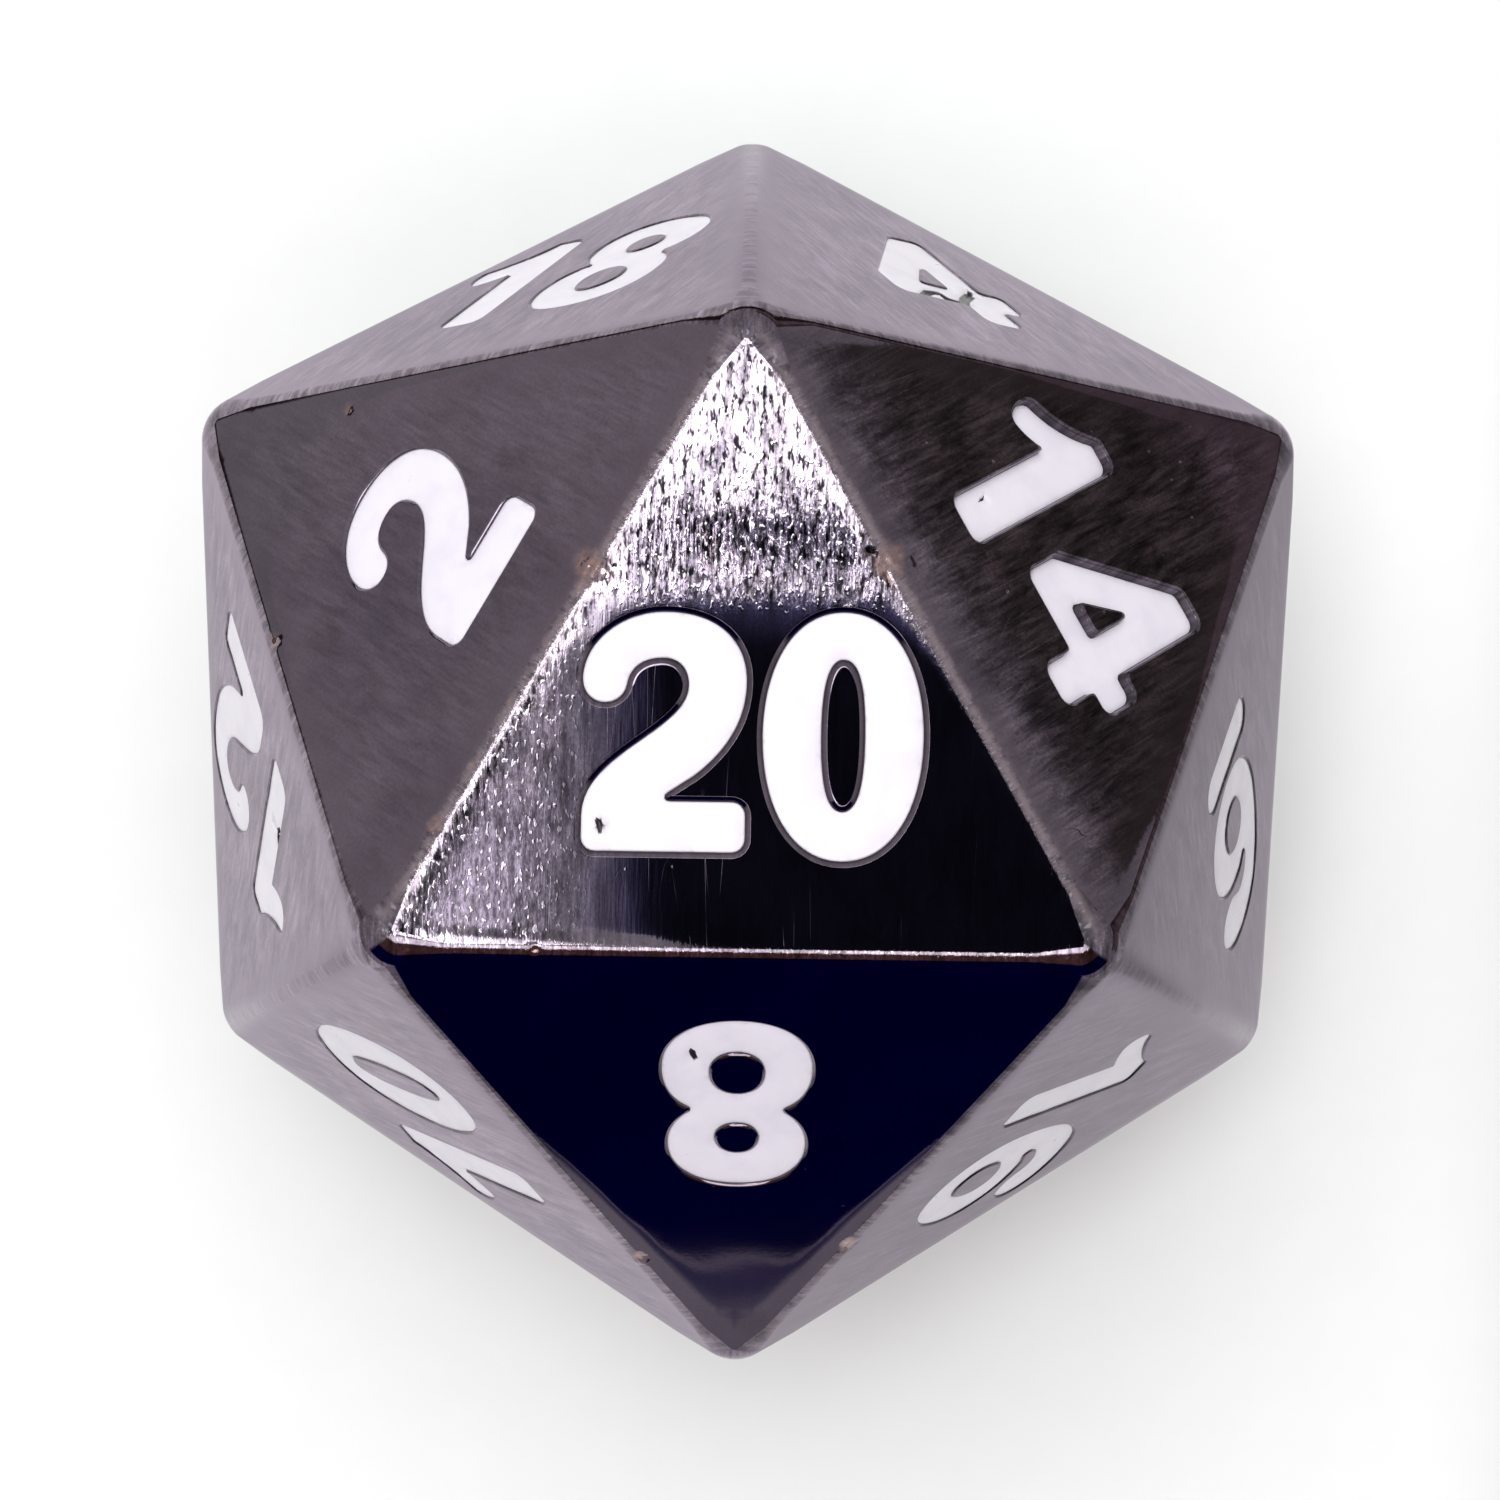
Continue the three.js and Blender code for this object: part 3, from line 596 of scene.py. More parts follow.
def add_face(surface, face, number):
    loops = [loop for _, c, x, y in numeral_pieces(face) for loop in digit_loops(c, (x, y))]
    outline = []
    for i in range(3):
        corner, other = face.points[i], face.points[(i + 1) % 3]
        outline += [centre + radius * face.normal for centre, radius in edge_stations(corner, other)[:-1]]
    outline = face.flatten(outline)
    middle = outline.mean(0)

    width = face.lip + LIP_ROUNDING
    lip = [WALL_AT + width * part for part in LIP_ROWS]
    rings = offset_loops(loops, (-0.041, WALL_AT - 0.003, *lip))
    loose = [middle + (outline - middle) * shrink for shrink in MARGIN_ROWS]
    grid = hex_grid(*FACE_GRID)
    inner = middle + (outline - middle) * 0.8
    grid_distance, _ = distance_to(grid, [inner])
    grid = grid[grid_distance < 0]
    loose = np.vstack([rows[::2] for rows in loose] + [grid])
    clear, _ = distance_to(loose, loops)
    loose = loose[(clear > lip[-1] + CLEAR_OF_LIP) | (clear < -0.15)]
    knocked = knock_points(face)
    inside, _ = distance_to(knocked, [outline])
    clear, _ = distance_to(knocked, loops)
    loose = np.vstack([loose, knocked[(inside < -0.04) & (clear > lip[-1] + CLEAR_OF_LIP)]])

    flat, triangles = triangulate([outline] + [ring for ring in rings if len(ring) > 5], loose)
    distance, direction = distance_to(flat, loops)
    height, slope = pocket_profile(distance, face.lip)
    normals = face.turn(slope * direction[:, 0], slope * direction[:, 1])
    uv = flat + (17.0 * number, 31.0)
    border, _ = distance_to(flat, [outline])
    scuff = scuff_at(face, flat, border)
    surface.add(face.place(flat, height), normals, triangles, uv, scuff, face.painted_shade)


def scuff_at(face, flat, border):
    """How scuffed a face is; the 20 is worst near its top corner and along its edges."""
    if face.text != "20":
        return face.scuff * (1 - 0.8 * np.exp(-((border / 0.6) ** 2)))
    x, y = flat.T
    high = ((y - 2.1) / 0.7).clip(0, 1) - 0.35 * ((y - 4.0) / 3.6).clip(0, 1)
    worn_side = ((1.5 - 0.5 * x + 0.6 * y) / 2.5).clip(0, 1)
    left = ((-x - 1.8) / 1.8).clip(0, 1)
    middle = np.maximum(0.15 + 0.85 * high, 0.15 + 0.38 * left)
    return face.scuff * np.maximum(middle, 0.95 * worn_side * np.exp(-((border / 0.35) ** 2)))


def grid_triangles(rows, columns):
    triangles = []
    for i in range(rows - 1):
        for j in range(columns - 1):
            a = i * columns + j
            triangles += [(a, a + 1, a + columns), (a + 1, a + columns + 1, a + columns)]
    return triangles


def add_edge(surface, corner, other, face_a, face_b, number):
    sweep = [turn_towards(face_a.normal, face_b.normal, k / ROUND_STEPS) for k in range(ROUND_STEPS + 1)]
    points, normals, uv = [], [], []
    for i, (centre, radius) in enumerate(edge_stations(corner, other)):
        for k, normal in enumerate(sweep):
            points.append(centre + radius * normal)
            normals.append(normal)
            uv.append((0.16 * i + 40.0 * number, 0.05 * k - 60.0))
    triangles = grid_triangles(len(points) // len(sweep), len(sweep))
    surface.add(points, normals, triangles, uv, 0.5, (face_a.painted_shade + face_b.painted_shade) / 2)


def add_cap_sector(surface, corner, face_a, face_b):
    axis = unit(corner)
    centre = corner * (1 - CORNER_RADIUS / HALF)
    normals = [axis]
    for i in range(1, ROUND_STEPS + 1):
        start = turn_towards(axis, face_a.normal, i / ROUND_STEPS)
        end = turn_towards(axis, face_b.normal, i / ROUND_STEPS)
        normals += [turn_towards(start, end, j / i) for j in range(i + 1)]
    triangles = []
    for i in range(1, ROUND_STEPS + 1):
        row, above = i * (i + 1) // 2, (i - 1) * i // 2
        for j in range(i):
            triangles.append((row + j, row + j + 1, above + j))
            if j:
                triangles.append((row + j, above + j, above + j - 1))
    normals = np.array(normals)
    points = centre + CORNER_RADIUS * normals
    surface.add(points, normals, triangles, points[:, :2] * 1.3 + 90.0, 0.5, 1.0)


def make_object(name, points, triangles):
    mesh = bpy.data.meshes.new(name)
    mesh.from_pydata((np.asarray(points) * MM).tolist(), [], triangles.tolist())
    mesh.polygons.foreach_set("use_smooth", [True] * len(mesh.polygons))
    piece = bpy.data.objects.new(name, mesh)
    bpy.context.scene.collection.objects.link(piece)
    return piece


def add_attribute(mesh, name, values):
    mesh.attributes.new(name, "FLOAT", "POINT").data.foreach_set("value", values.astype(np.float32))


def add_uvs(mesh, uvs):
    mesh.uv_layers.new(name="face_mm").data.foreach_set("uv", uvs.reshape(-1).astype(np.float32))


def dent(points, normals):
    """Pushes the knocks into the surface and says where plating has gone."""
    bare = np.zeros(len(points))
    depth = np.zeros(len(points))
    for middle, radius, low in knocks():
        distance = np.linalg.norm(points - middle, axis=1)
        for i in np.nonzero(distance < radius * 1.6)[0]:
            rough = noise.noise(Vector(points[i]) * 4.0)
            fall = max(0.0, 1 - distance[i] / (radius * (1 + 0.7 * rough)))
            fall = fall * fall * (3 - 2 * fall)
            depth[i] = max(depth[i], low * fall * (1 + 0.9 * noise.noise(Vector(points[i]) * 9.0)))
            bare[i] = max(bare[i], fall)
    return points - normals * depth[:, None], bare, depth > 0


def make_casting():
    surface = Surface()
    for number, face in enumerate(faces):
        add_face(surface, face, number)
    pairs = 0
    for i, face_a in enumerate(faces):
        for face_b in faces[i + 1:]:
            shared = [p for p in face_a.points if any(p is q for q in face_b.points)]
            if len(shared) != 2:
                continue
            pairs += 1
            add_edge(surface, shared[0], shared[1], face_a, face_b, pairs)
            for corner in shared:
                add_cap_sector(surface, corner, face_a, face_b)
    points, normals, triangles, uvs, scuffs, painted_shades = surface.joined()
    nearness = edge_nearness(points)
    smooth = rolled_off(points, normals)
    shaped = points - normals * (PILLOW_DROP * nearness)[:, None]
    shaped, bare, dented = dent(shaped, normals)
    raised = shaped + (0, 0, HALF)

    casting = make_object("casting", raised, triangles)
    mesh = casting.data
    real = np.empty(len(points) * 3)
    mesh.vertex_normals.foreach_get("vector", real)
    smooth = np.where(dented[:, None], real.reshape(-1, 3), smooth)
    mesh.normals_split_custom_set_from_vertices(smooth.tolist())
    add_uvs(mesh, uvs)
    add_attribute(mesh, "wear", edge_wear(points))
    add_attribute(mesh, "bare", bare)
    add_attribute(mesh, "recess", recess_depth(points))
    add_attribute(mesh, "scuff", scuffs)
    add_attribute(mesh, "painted_shade", painted_shades)
    add_attribute(mesh, "glitter", glitter(points, scuffs))
    return casting


# ---- the enamel -----------------------------------------------------------

# Pits, chips and one crack in the paint: a line of points on the digit's face
# with the width of the damage.
DAMAGE = {
    "enamel_20_tens": [([(-2.5, -1.50), (-2.48, -1.56)], 0.05)],
    "enamel_8": [([(0.80, -1.22), (0.82, -1.34)], 0.05)],
    "enamel_14_tens": [([(-1.66, -0.82), (-1.65, -0.86)], 0.018)],
    "enamel_12_tens": [
        ([(-1.56, -0.32), (-1.44, -0.48), (-1.52, -0.62)], 0.05),
        ([(-1.44, -0.48), (-1.40, -0.66), (-1.47, -0.80)], 0.045),
        ([(-1.40, -0.66), (-1.16, -0.62)], 0.025),
    ],
    "enamel_4": [
        ([(-0.74, -0.74), (-0.48, -0.48), (-0.16, -0.40)], 0.09),
        ([(-0.16, -0.40), (-0.10, -0.62), (0.28, -0.70)], 0.10),
        ([(0.28, -0.70), (0.46, -0.42), (0.78, -0.10)], 0.10),
        ([(0.78, -0.10), (1.00, 0.20)], 0.05),
    ],
}


def damage_lines(marks):
    """Start, run and width of each straight piece of the damage."""
    for line, width in marks:
        line = np.array(line)
        for start, end in zip(line[:-1], line[1:]):
            yield start, end - start, width


def damage_at(points, marks):
    """How damaged the paint is at each point, from 0 to 1."""
    worst = np.zeros(len(points))
    for start, run, width in damage_lines(marks):
        along = ((points - start) @ run / (run @ run)).clip(0, 1)
        distance = np.linalg.norm(points - start - along[:, None] * run, axis=1)
        worst = np.maximum(worst, (1.5 - distance / width).clip(0, 1))
    return worst


def damage_points(marks):
    """Extra mesh points along the damage."""
    extra = []
    for start, run, width in damage_lines(marks):
        across = np.array([-run[1], run[0]]) / np.linalg.norm(run)
        for t in np.arange(0, 1.001, min(0.5, width / np.linalg.norm(run))):
            for k in (-1.6, -1.0, -0.45, 0.0, 0.45, 1.0, 1.6):
                extra.append(start + run * t + across * k * width)
    return np.array(extra) if extra else np.zeros((0, 2))


def make_fill(face, node, character, offset):
    loops = digit_loops(character, offset)
    marks = DAMAGE.get(node, [])
    edge = WALL_AT - (face.low - face.lip) / WALL_SLOPE - 0.003
    rings = offset_loops(loops, (edge, *FILL_ROWS))
    grid = hex_grid(*FILL_GRID) + np.mean(loops[0], axis=0)
    extra = damage_points(marks)
    inside, _ = distance_to(grid, loops)
    grid = grid[inside < -0.26]
    if len(extra):
        near = np.linalg.norm(grid[:, None] - extra, axis=2).min(1)
        grid = grid[near > 0.09]
        deep, _ = distance_to(extra, loops)
        extra = extra[deep < -0.03]
    flat, triangles = triangulate(rings, np.vstack([grid, extra]))
    middle = flat[triangles].mean(1)
    inside, _ = distance_to(middle, rings[:len(loops)])
    triangles = triangles[inside < 0]

    used = np.unique(triangles)
    renumber = np.full(len(flat), -1)
    renumber[used] = np.arange(len(used))
    flat, triangles = flat[used], renumber[triangles]

    distance, _ = distance_to(flat, loops)
    uneven = np.array([noise.noise(Vector((*p, 3.0 * HALF)) * 1.6) for p in flat])
    crown = min(ENAMEL_CROWN, face.low) * (1 - np.exp(distance.clip(None, 0) / 0.09))
    damage = damage_at(flat, marks)
    height = -face.low - 0.005 + crown + 0.008 * uneven - 0.09 * damage
    top = face.place(flat, height)

    sides = dict.fromkeys(side for a, b, c in triangles for side in ((a, b), (b, c), (c, a)))
    rim = [(a, b) for a, b in sides if (b, a) not in sides]
    bottom = face.place(flat, np.full(len(flat), -POCKET_DEPTH + 0.01))
    size = len(flat)
    walls = []
    for a, b in rim:
        walls += [(b, a, a + size), (b, a + size, b + size)]
    skin = np.vstack([triangles, triangles[:, ::-1] + size, walls])
    points = np.vstack([top, bottom]) + (0, 0, HALF)
    piece = make_object("paint" + node.removeprefix("enamel"), points, skin)
    add_attribute(piece.data, "damage", np.concatenate([damage, damage * 0]))
    add_attribute(piece.data, "border", np.concatenate([np.exp(distance.clip(None, 0) / 0.05)] * 2))
    add_uvs(piece.data, np.vstack([flat, flat])[skin])
    return piece


# ---- materials ------------------------------------------------------------

BRUSH_ANGLE = 9.0       # degrees the polishing lines lean from a numeral's upright


class Nodes:
    """Short helpers to wire up one node tree."""

    def __init__(self, tree):
        self.tree = tree
        tree.nodes.clear()

    def add(self, kind, inputs=None, **settings):
        node = self.tree.nodes.new(kind)
        for key, value in settings.items():
            setattr(node, key, value)
        for key, value in (inputs or {}).items():
            if hasattr(value, "is_output"):
                self.tree.links.new(value, node.inputs[key])
            else:
                node.inputs[key].default_value = value
        return node

    def coordinate(self, axis):
        """How far along X, Y or Z a point of the object lies, in metres."""
        place = self.add("ShaderNodeTexCoord").outputs["Object"]
        return self.add("ShaderNodeSeparateXYZ", {0: place}).outputs[axis]

    def math(self, operation, a, b=0.0, c=0.0, clamp=False):
        node = self.add("ShaderNodeMath", {0: a, 1: b, 2: c}, operation=operation, use_clamp=clamp)
        return node.outputs[0]

    def times(self, a, b, clamp=False):
        return self.math("MULTIPLY", a, b, clamp=clamp)

    def fma(self, a, b, c):
        """a times b, plus c."""
        return self.math("MULTIPLY_ADD", a, b, c)

    def smooth(self, value, low, high, start=0.0, end=1.0):
        inputs = {"Value": value, "From Min": low, "From Max": high, "To Min": start, "To Max": end}
        node = self.add("ShaderNodeMapRange", inputs, interpolation_type="SMOOTHSTEP")
        return node.outputs["Result"]

    def mix(self, factor, a, b):
        return self.add("ShaderNodeMix", {"Factor": factor, 6: a, 7: b}, data_type="RGBA").outputs[2]

    def scale(self, colour, factor):
        node = self.add("ShaderNodeVectorMath", {0: colour, "Scale": factor}, operation="SCALE")
        return node.outputs["Vector"]

    def noise(self, vector, scale, detail=2.0, rough=0.5, distortion=0.0):
        inputs = {"Vector": vector, "Scale": scale, "Detail": detail, "Roughness": rough}
        return self.add("ShaderNodeTexNoise", {**inputs, "Distortion": distortion}).outputs["Fac"]

    def streaks(self, vector, x, y, detail=1.0, rough=0.5, distortion=0.0, angle=BRUSH_ANGLE):
        """Noise drawn out at an angle, with its scale across and along the streaks."""
        inputs = {"Vector": vector, "Scale": (x, y, 1.0), "Rotation": (0.0, 0.0, math.radians(angle))}
        stretched = self.add("ShaderNodeMapping", inputs).outputs["Vector"]
        return self.noise(stretched, 1.0, detail, rough, distortion)

    def attribute(self, name):
        return self.add("ShaderNodeAttribute", attribute_name=name).outputs["Fac"]

    def around(self, field, middle, amount):
        """A field about its middle value, faded by the amount without moving that middle."""
        return self.times(self.math("SUBTRACT", field, middle), amount)

    def bump(self, height, microns, normal=None):
        inputs = {"Height": height, "Distance": microns * 1e-6, "Strength": 1.0}
        if normal is not None:
            inputs["Normal"] = normal
        return self.add("ShaderNodeBump", inputs).outputs["Normal"]

    def surface(self, kind, inputs):
        """Ends the tree with a shader on the surface."""
        shader = self.add(kind, inputs)
        self.add("ShaderNodeOutputMaterial", {"Surface": shader.outputs[0]})


def new_material(name):
    material = bpy.data.materials.new(name)
    material.use_nodes = True
    return material, Nodes(material.node_tree)


PLATING_DARK = (0.155, 0.134, 0.163, 1.0)
PLATING_LIGHT = (0.200, 0.174, 0.207, 1.0)
STAIN = (0.140, 0.108, 0.100, 1.0)
RUBBED_EDGE = (0.36, 0.30, 0.315, 1.0)
COPPER = (0.60, 0.39, 0.32, 1.0)
POCKET_SHADE = (0.030, 0.024, 0.027, 1.0)
SPARK = (0.82, 0.79, 0.81, 1.0)


def metal_material():
    material, n = new_material("black_nickel_plating")
    uv = n.add("ShaderNodeUVMap", uv_map="face_mm").outputs["UV"]
    place = n.add("ShaderNodeTexCoord").outputs["Object"]
    names = ("wear", "bare", "recess", "scuff", "glitter", "painted_shade")
    wear, bare, recess, scuff, glitter, painted_shade = (n.attribute(name) for name in names)

    # Patterns in millimetres, most of them drawn out along the polishing lines.
    brushed = n.streaks(uv, 17.0, 1.6)
    nicks = n.streaks(uv, 11.5, 3.8, 2.0, 0.6)
    coarse = n.streaks(uv, 6.0, 0.5, 2.0, 0.6)
    smudge = n.streaks(uv, 2.6, 0.8, 5.0, 0.72, 0.5)
    grime = n.streaks(uv, 9.0, 0.8, 4.0, 0.7)
    grain = n.noise(uv, 9.0, 3.0, 0.6)
    waves = n.noise(uv, 0.5, 1.0, 0.4)
    patches = n.smooth(n.noise(uv, 0.42, 3.0, 0.55, 0.6), 0.40, 0.62)
    scratch_a = n.streaks(uv, 0.9, 0.05, angle=24.0)
    scratch_b = n.streaks(uv, 0.8, 0.05, angle=-32.0)
    lines = []
    for field, middle in ((scratch_a, 0.44), (scratch_b, 0.52), (scratch_a, 0.57)):
        away = n.math("ABSOLUTE", n.math("SUBTRACT", field, middle))
        lines.append(n.smooth(away, 0.0, 0.0016, 1.0, 0.0))
    scratches = n.math("MAXIMUM", n.math("MAXIMUM", lines[0], lines[1]), lines[2])
    scratched = n.times(n.smooth(scuff, 0.08, 0.16, 0.0, 0.2), patches)
    scratches = n.times(scratches, scratched)
    pits = n.add("ShaderNodeTexVoronoi", {"Vector": uv, "Scale": 1.5}).outputs["Distance"]
    pits = n.smooth(pits, 0.02, 0.055, 1.0, 0.0)

    # Where they show: only the worst of the 20 is fully scuffed.
    scuffed = n.smooth(scuff, 0.60, 0.80)
    smudges = n.times(scuff, 1.7, clamp=True)
    rub = n.times(wear, n.smooth(n.noise(uv, 2.2, 4.0, 0.65), 0.32, 0.55, 0.2, 1.0))

    # Colour: plating, stains and smudges, painted shade on some faces and down in
    # the pockets, streaks, the broken-up specks, then bare metal on the edges and
    # copper in the knocks.
    tone = n.mix(n.smooth(n.noise(place, 260.0, 3.0, 0.6), 0.35, 0.65), PLATING_DARK, PLATING_LIGHT)
    stain = n.smooth(n.noise(uv, 0.5, 4.0, 0.6, 1.0), 0.52, 0.72)
    stain = n.times(stain, n.times(scuff, 0.7))
    tone = n.mix(stain, tone, STAIN)
    smudged = n.fma(n.smooth(smudge, 0.34, 0.66, -0.55, 0.45), smudges, 1.0)
    # Painted shade: some faces' plating made darker or lighter for what they mirror.
    tone = n.scale(tone, n.times(smudged, painted_shade))
    grit = n.smooth(n.noise(uv, 15.0, 2.0, 0.6), 0.3, 0.7, -0.25, 0.25)
    tone = n.scale(tone, n.fma(grit, n.fma(scuff, 0.9, 0.2), 1.0))
    # Painted shade down in the numeral pockets.
    tone = n.mix(n.times(recess, 0.88), tone, POCKET_SHADE)
    streak = n.smooth(grime, 0.33, 0.68, 0.35, 1.85)
    streak = n.fma(n.math("SUBTRACT", streak, 1.0), scuff, 1.0)
    tone = n.scale(tone, streak)
    nicked = n.smooth(nicks, 0.38, 0.54, -0.95, 0.45)
    tone = n.scale(tone, n.fma(nicked, glitter, 1.0))
    sparks = n.streaks(uv, 12.0, 6.5)
    sparks = n.times(n.smooth(sparks, 0.60, 0.70), n.times(glitter, 2.0, clamp=True))
    tone = n.mix(n.times(sparks, 0.60), tone, SPARK)
    tone = n.mix(rub, tone, RUBBED_EDGE)
    flecks = n.smooth(n.noise(place, 6500.0, 2.0, 0.5), 0.47, 0.6)
    tone = n.mix(n.times(bare, n.fma(flecks, 0.45, 0.45)), tone, COPPER)

    # Gloss, then relief in thousandths of a millimetre.
    rough = n.fma(scuff, 0.03, 0.025)
    rough = n.fma(rub, 0.20, rough)
    rough = n.fma(recess, 0.30, rough)
    rough = n.fma(bare, 0.12, rough)
    rough = n.fma(scratches, 0.15, rough)

    lined = n.fma(scuffed, 0.85, n.times(n.smooth(scuff, 0.08, 0.14), 0.15))
    normal = n.bump(waves, 3.0)
    normal = n.bump(n.around(coarse, 0.5, lined), 1.8, normal)
    normal = n.bump(n.around(brushed, 0.5, lined), 1.3, normal)
    normal = n.bump(n.around(n.smooth(nicks, 0.50, 0.74), 0.25, glitter), 0.5, normal)
    normal = n.bump(sparks, 0.7, normal)
    rough_spots = n.fma(rub, 5.0, n.fma(scuffed, 0.06, 0.02))
    normal = n.bump(n.around(grain, 0.5, rough_spots), 3.0, normal)
    normal = n.bump(n.times(pits, n.fma(scuff, 1.5, 0.02)), 4.0, normal)
    normal = n.bump(n.times(scratches, -1.0), 0.8, normal)
    n.surface("ShaderNodeBsdfPrincipled", {
        "Base Color": tone, "Metallic": 1.0, "Roughness": rough, "Normal": normal,
        "Specular Tint": (0.87, 0.82, 0.885, 1.0),
    })
    return material


def enamel_material():
    material, n = new_material("white_enamel")
    uv = n.add("ShaderNodeUVMap", uv_map="face_mm").outputs["UV"]
    damage = n.attribute("damage")
    border = n.attribute("border")
    white = (0.755, 0.735, 0.785, 1.0)
    cool = (0.70, 0.68, 0.745, 1.0)
    grime = (0.33, 0.30, 0.32, 1.0)
    black = (0.015, 0.013, 0.016, 1.0)
    tone = n.mix(n.smooth(n.noise(uv, 1.1, 3.0, 0.55), 0.4, 0.7), white, cool)
    # Greyer in patches along the digit's edge: dirt, and painted shade where the enamel meets the pocket
    # wall.
    edge_shade_and_dirt = n.times(border, n.smooth(n.noise(uv, 4.0, 3.0, 0.6), 0.5, 0.8, 0.0, 0.5))
    tone = n.mix(edge_shade_and_dirt, tone, grime)
    specks = n.smooth(n.noise(uv, 6.0, 1.0, 0.4), 0.84, 0.86)
    tone = n.mix(specks, tone, grime)
    tone = n.mix(n.smooth(damage, 0.25, 0.5), tone, black)
    rough = n.fma(n.noise(uv, 2.5, 2.0), 0.2, 0.22)
    normal = n.bump(n.noise(uv, 1.6, 3.0, 0.5), 10.0)
    n.surface("ShaderNodeBsdfPrincipled", {
        "Base Color": tone, "Roughness": rough, "IOR": 1.5, "Normal": normal, "Coat Weight": 0.25,
        "Coat Roughness": 0.12,
    })
    return material


# ---- the object -----------------------------------------------------------

casting = make_casting()
casting.data.materials.append(metal_material())
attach(casting, "root")
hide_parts("die_body")

paint = enamel_material()
for face in faces:
    for node, character, x, y in numeral_pieces(face):
        fill = make_fill(face, node, character, (x, y))
        fill.data.materials.append(paint)
        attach(fill, "root")
        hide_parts(node)

# ---- paper, surroundings and light ----------------------------------------


def make_card(name, outline, height):
    """A level card; its outline goes round anticlockwise."""
    points = np.array([(*point, height) for point in outline])
    points = np.vstack([points, points.mean(0)])
    count = len(outline)
    triangles = np.array([(count, i, (i + 1) % count) for i in range(count)])
    return make_object(name, points, triangles)


def disc(radius, sides=96):
    """Outline of a round card."""
    return [ring_point(radius, 360 * i / sides, 0)[:2] for i in range(sides)]


def paper_material():
    material, n = new_material("white_paper")
    place = n.add("ShaderNodeTexCoord").outputs["Object"]
    tone = n.mix(n.noise(place, 900.0, 3.0), (0.756, 0.78, 0.756, 1.0), (0.78, 0.804, 0.78, 1.0))
    # Painted shadow: darker from 15 to 22 mm right of the middle, which faces 6 and 16 mirror.
    tone = n.scale(tone, n.smooth(n.coordinate("X"), 15.0 * MM, 22.0 * MM, 1.0, 0.62))
    n.surface("ShaderNodeBsdfPrincipled", {
        "Base Color": tone, "Roughness": 0.9, "Specular IOR Level": 0.1,
    })
    return material


def glow_material(name, colour, strength=1.0):
    material, n = new_material(name)
    n.surface("ShaderNodeEmission", {"Color": (*colour, 1.0), "Strength": strength})
    return material


def only_seen_by(stage_piece, camera=False, glossy=False):
    """Keeps a piece of the surroundings out of the light and the shadows."""
    stage_piece.visible_camera = camera
    stage_piece.visible_glossy = glossy
    stage_piece.visible_diffuse = False
    stage_piece.visible_shadow = False
    stage_piece.visible_transmission = False


paper_look = paper_material()
paper = make_card("paper", disc(85.0), -0.02)
paper.data.materials.append(paper_look)

table = make_card("table", disc(900.0), -0.06)
table.data.materials.append(paper_look)
only_seen_by(table, camera=True)

# The dark camera body right above, which the top face mirrors, with a strap
# and a pale sleeve beside it: glowing cards, not lamps, seen only in reflections.
CAMERA_HEIGHT = 93.5
CAMERA_LEFT, CAMERA_FAR = -5.9, 4.9
CAMERA_OUTLINE = [
    (25, CAMERA_FAR), (-3.5, CAMERA_FAR), (-5.2, 4.2), (CAMERA_LEFT, 2.5),
    (CAMERA_LEFT, -7.0), (-3.8, -8.4), (-2, -28), (25, -28),
]
STRAP_OUTLINE = [(5.2, 6.6), (4.3, 8.0), (-2.6, 7.95), (-4.0, 7.1), (-2.9, 6.0), (4.2, 5.75)]
SLEEVE_OUTLINE = [(-5.9, 3.4), (-7.0, 3.2), (-8.4, 0.0), (-10.8, -5.5), (-11.4, -7.4), (-5.0, -7.6)]


def camera_body_material():
    """A glowing card, not a lamp: near black, with a painted dull blue rim at its far side and a painted
    pale left edge.
    """
    material, n = new_material("glowing_camera_body")
    x, y = n.coordinate("X"), n.coordinate("Y")
    from_left = n.smooth(x, CAMERA_LEFT * MM, (CAMERA_LEFT + 3.0) * MM, 1.0, 0.0)
    from_far = n.smooth(y, (CAMERA_FAR - 2.0) * MM, CAMERA_FAR * MM)
    rim = n.math("MAXIMUM", from_left, from_far)
    tone = n.mix(rim, (0.012, 0.011, 0.022, 1.0), (0.15, 0.15, 0.34, 1.0))
    left_edge = n.smooth(x, CAMERA_LEFT * MM, (CAMERA_LEFT + 2.0) * MM, 1.0, 0.0)
    tone = n.mix(left_edge, tone, (0.46, 0.44, 0.54, 1.0))
    n.surface("ShaderNodeEmission", {"Color": tone, "Strength": 1.0})
    return material


def sleeve_material():
    """A glowing card for cloth, not a lamp, that glows brighter to the left."""
    material, n = new_material("glowing_sleeve")
    strength = n.smooth(n.coordinate("X"), -10.8 * MM, -6.6 * MM, 2.8, 0.72)
    n.surface("ShaderNodeEmission", {"Color": (1.0, 0.955, 1.06, 1.0), "Strength": strength})
    return material


camera_body = make_card("camera_body", CAMERA_OUTLINE, CAMERA_HEIGHT)
camera_body.data.materials.append(camera_body_material())
strap = make_card("strap", STRAP_OUTLINE, CAMERA_HEIGHT)
strap.data.materials.append(glow_material("dark_strap", (0.05, 0.045, 0.15)))
sleeve = make_card("sleeve", SLEEVE_OUTLINE, CAMERA_HEIGHT + 0.5)
sleeve.data.materials.append(sleeve_material())
for card in (camera_body, strap, sleeve):
    only_seen_by(card, glossy=True)


DOME_RADIUS = 1150      # the backdrop is a dome round the table
DOME_DROP = 30
DOME_ROWS = 13
DOME_COLUMNS = 48


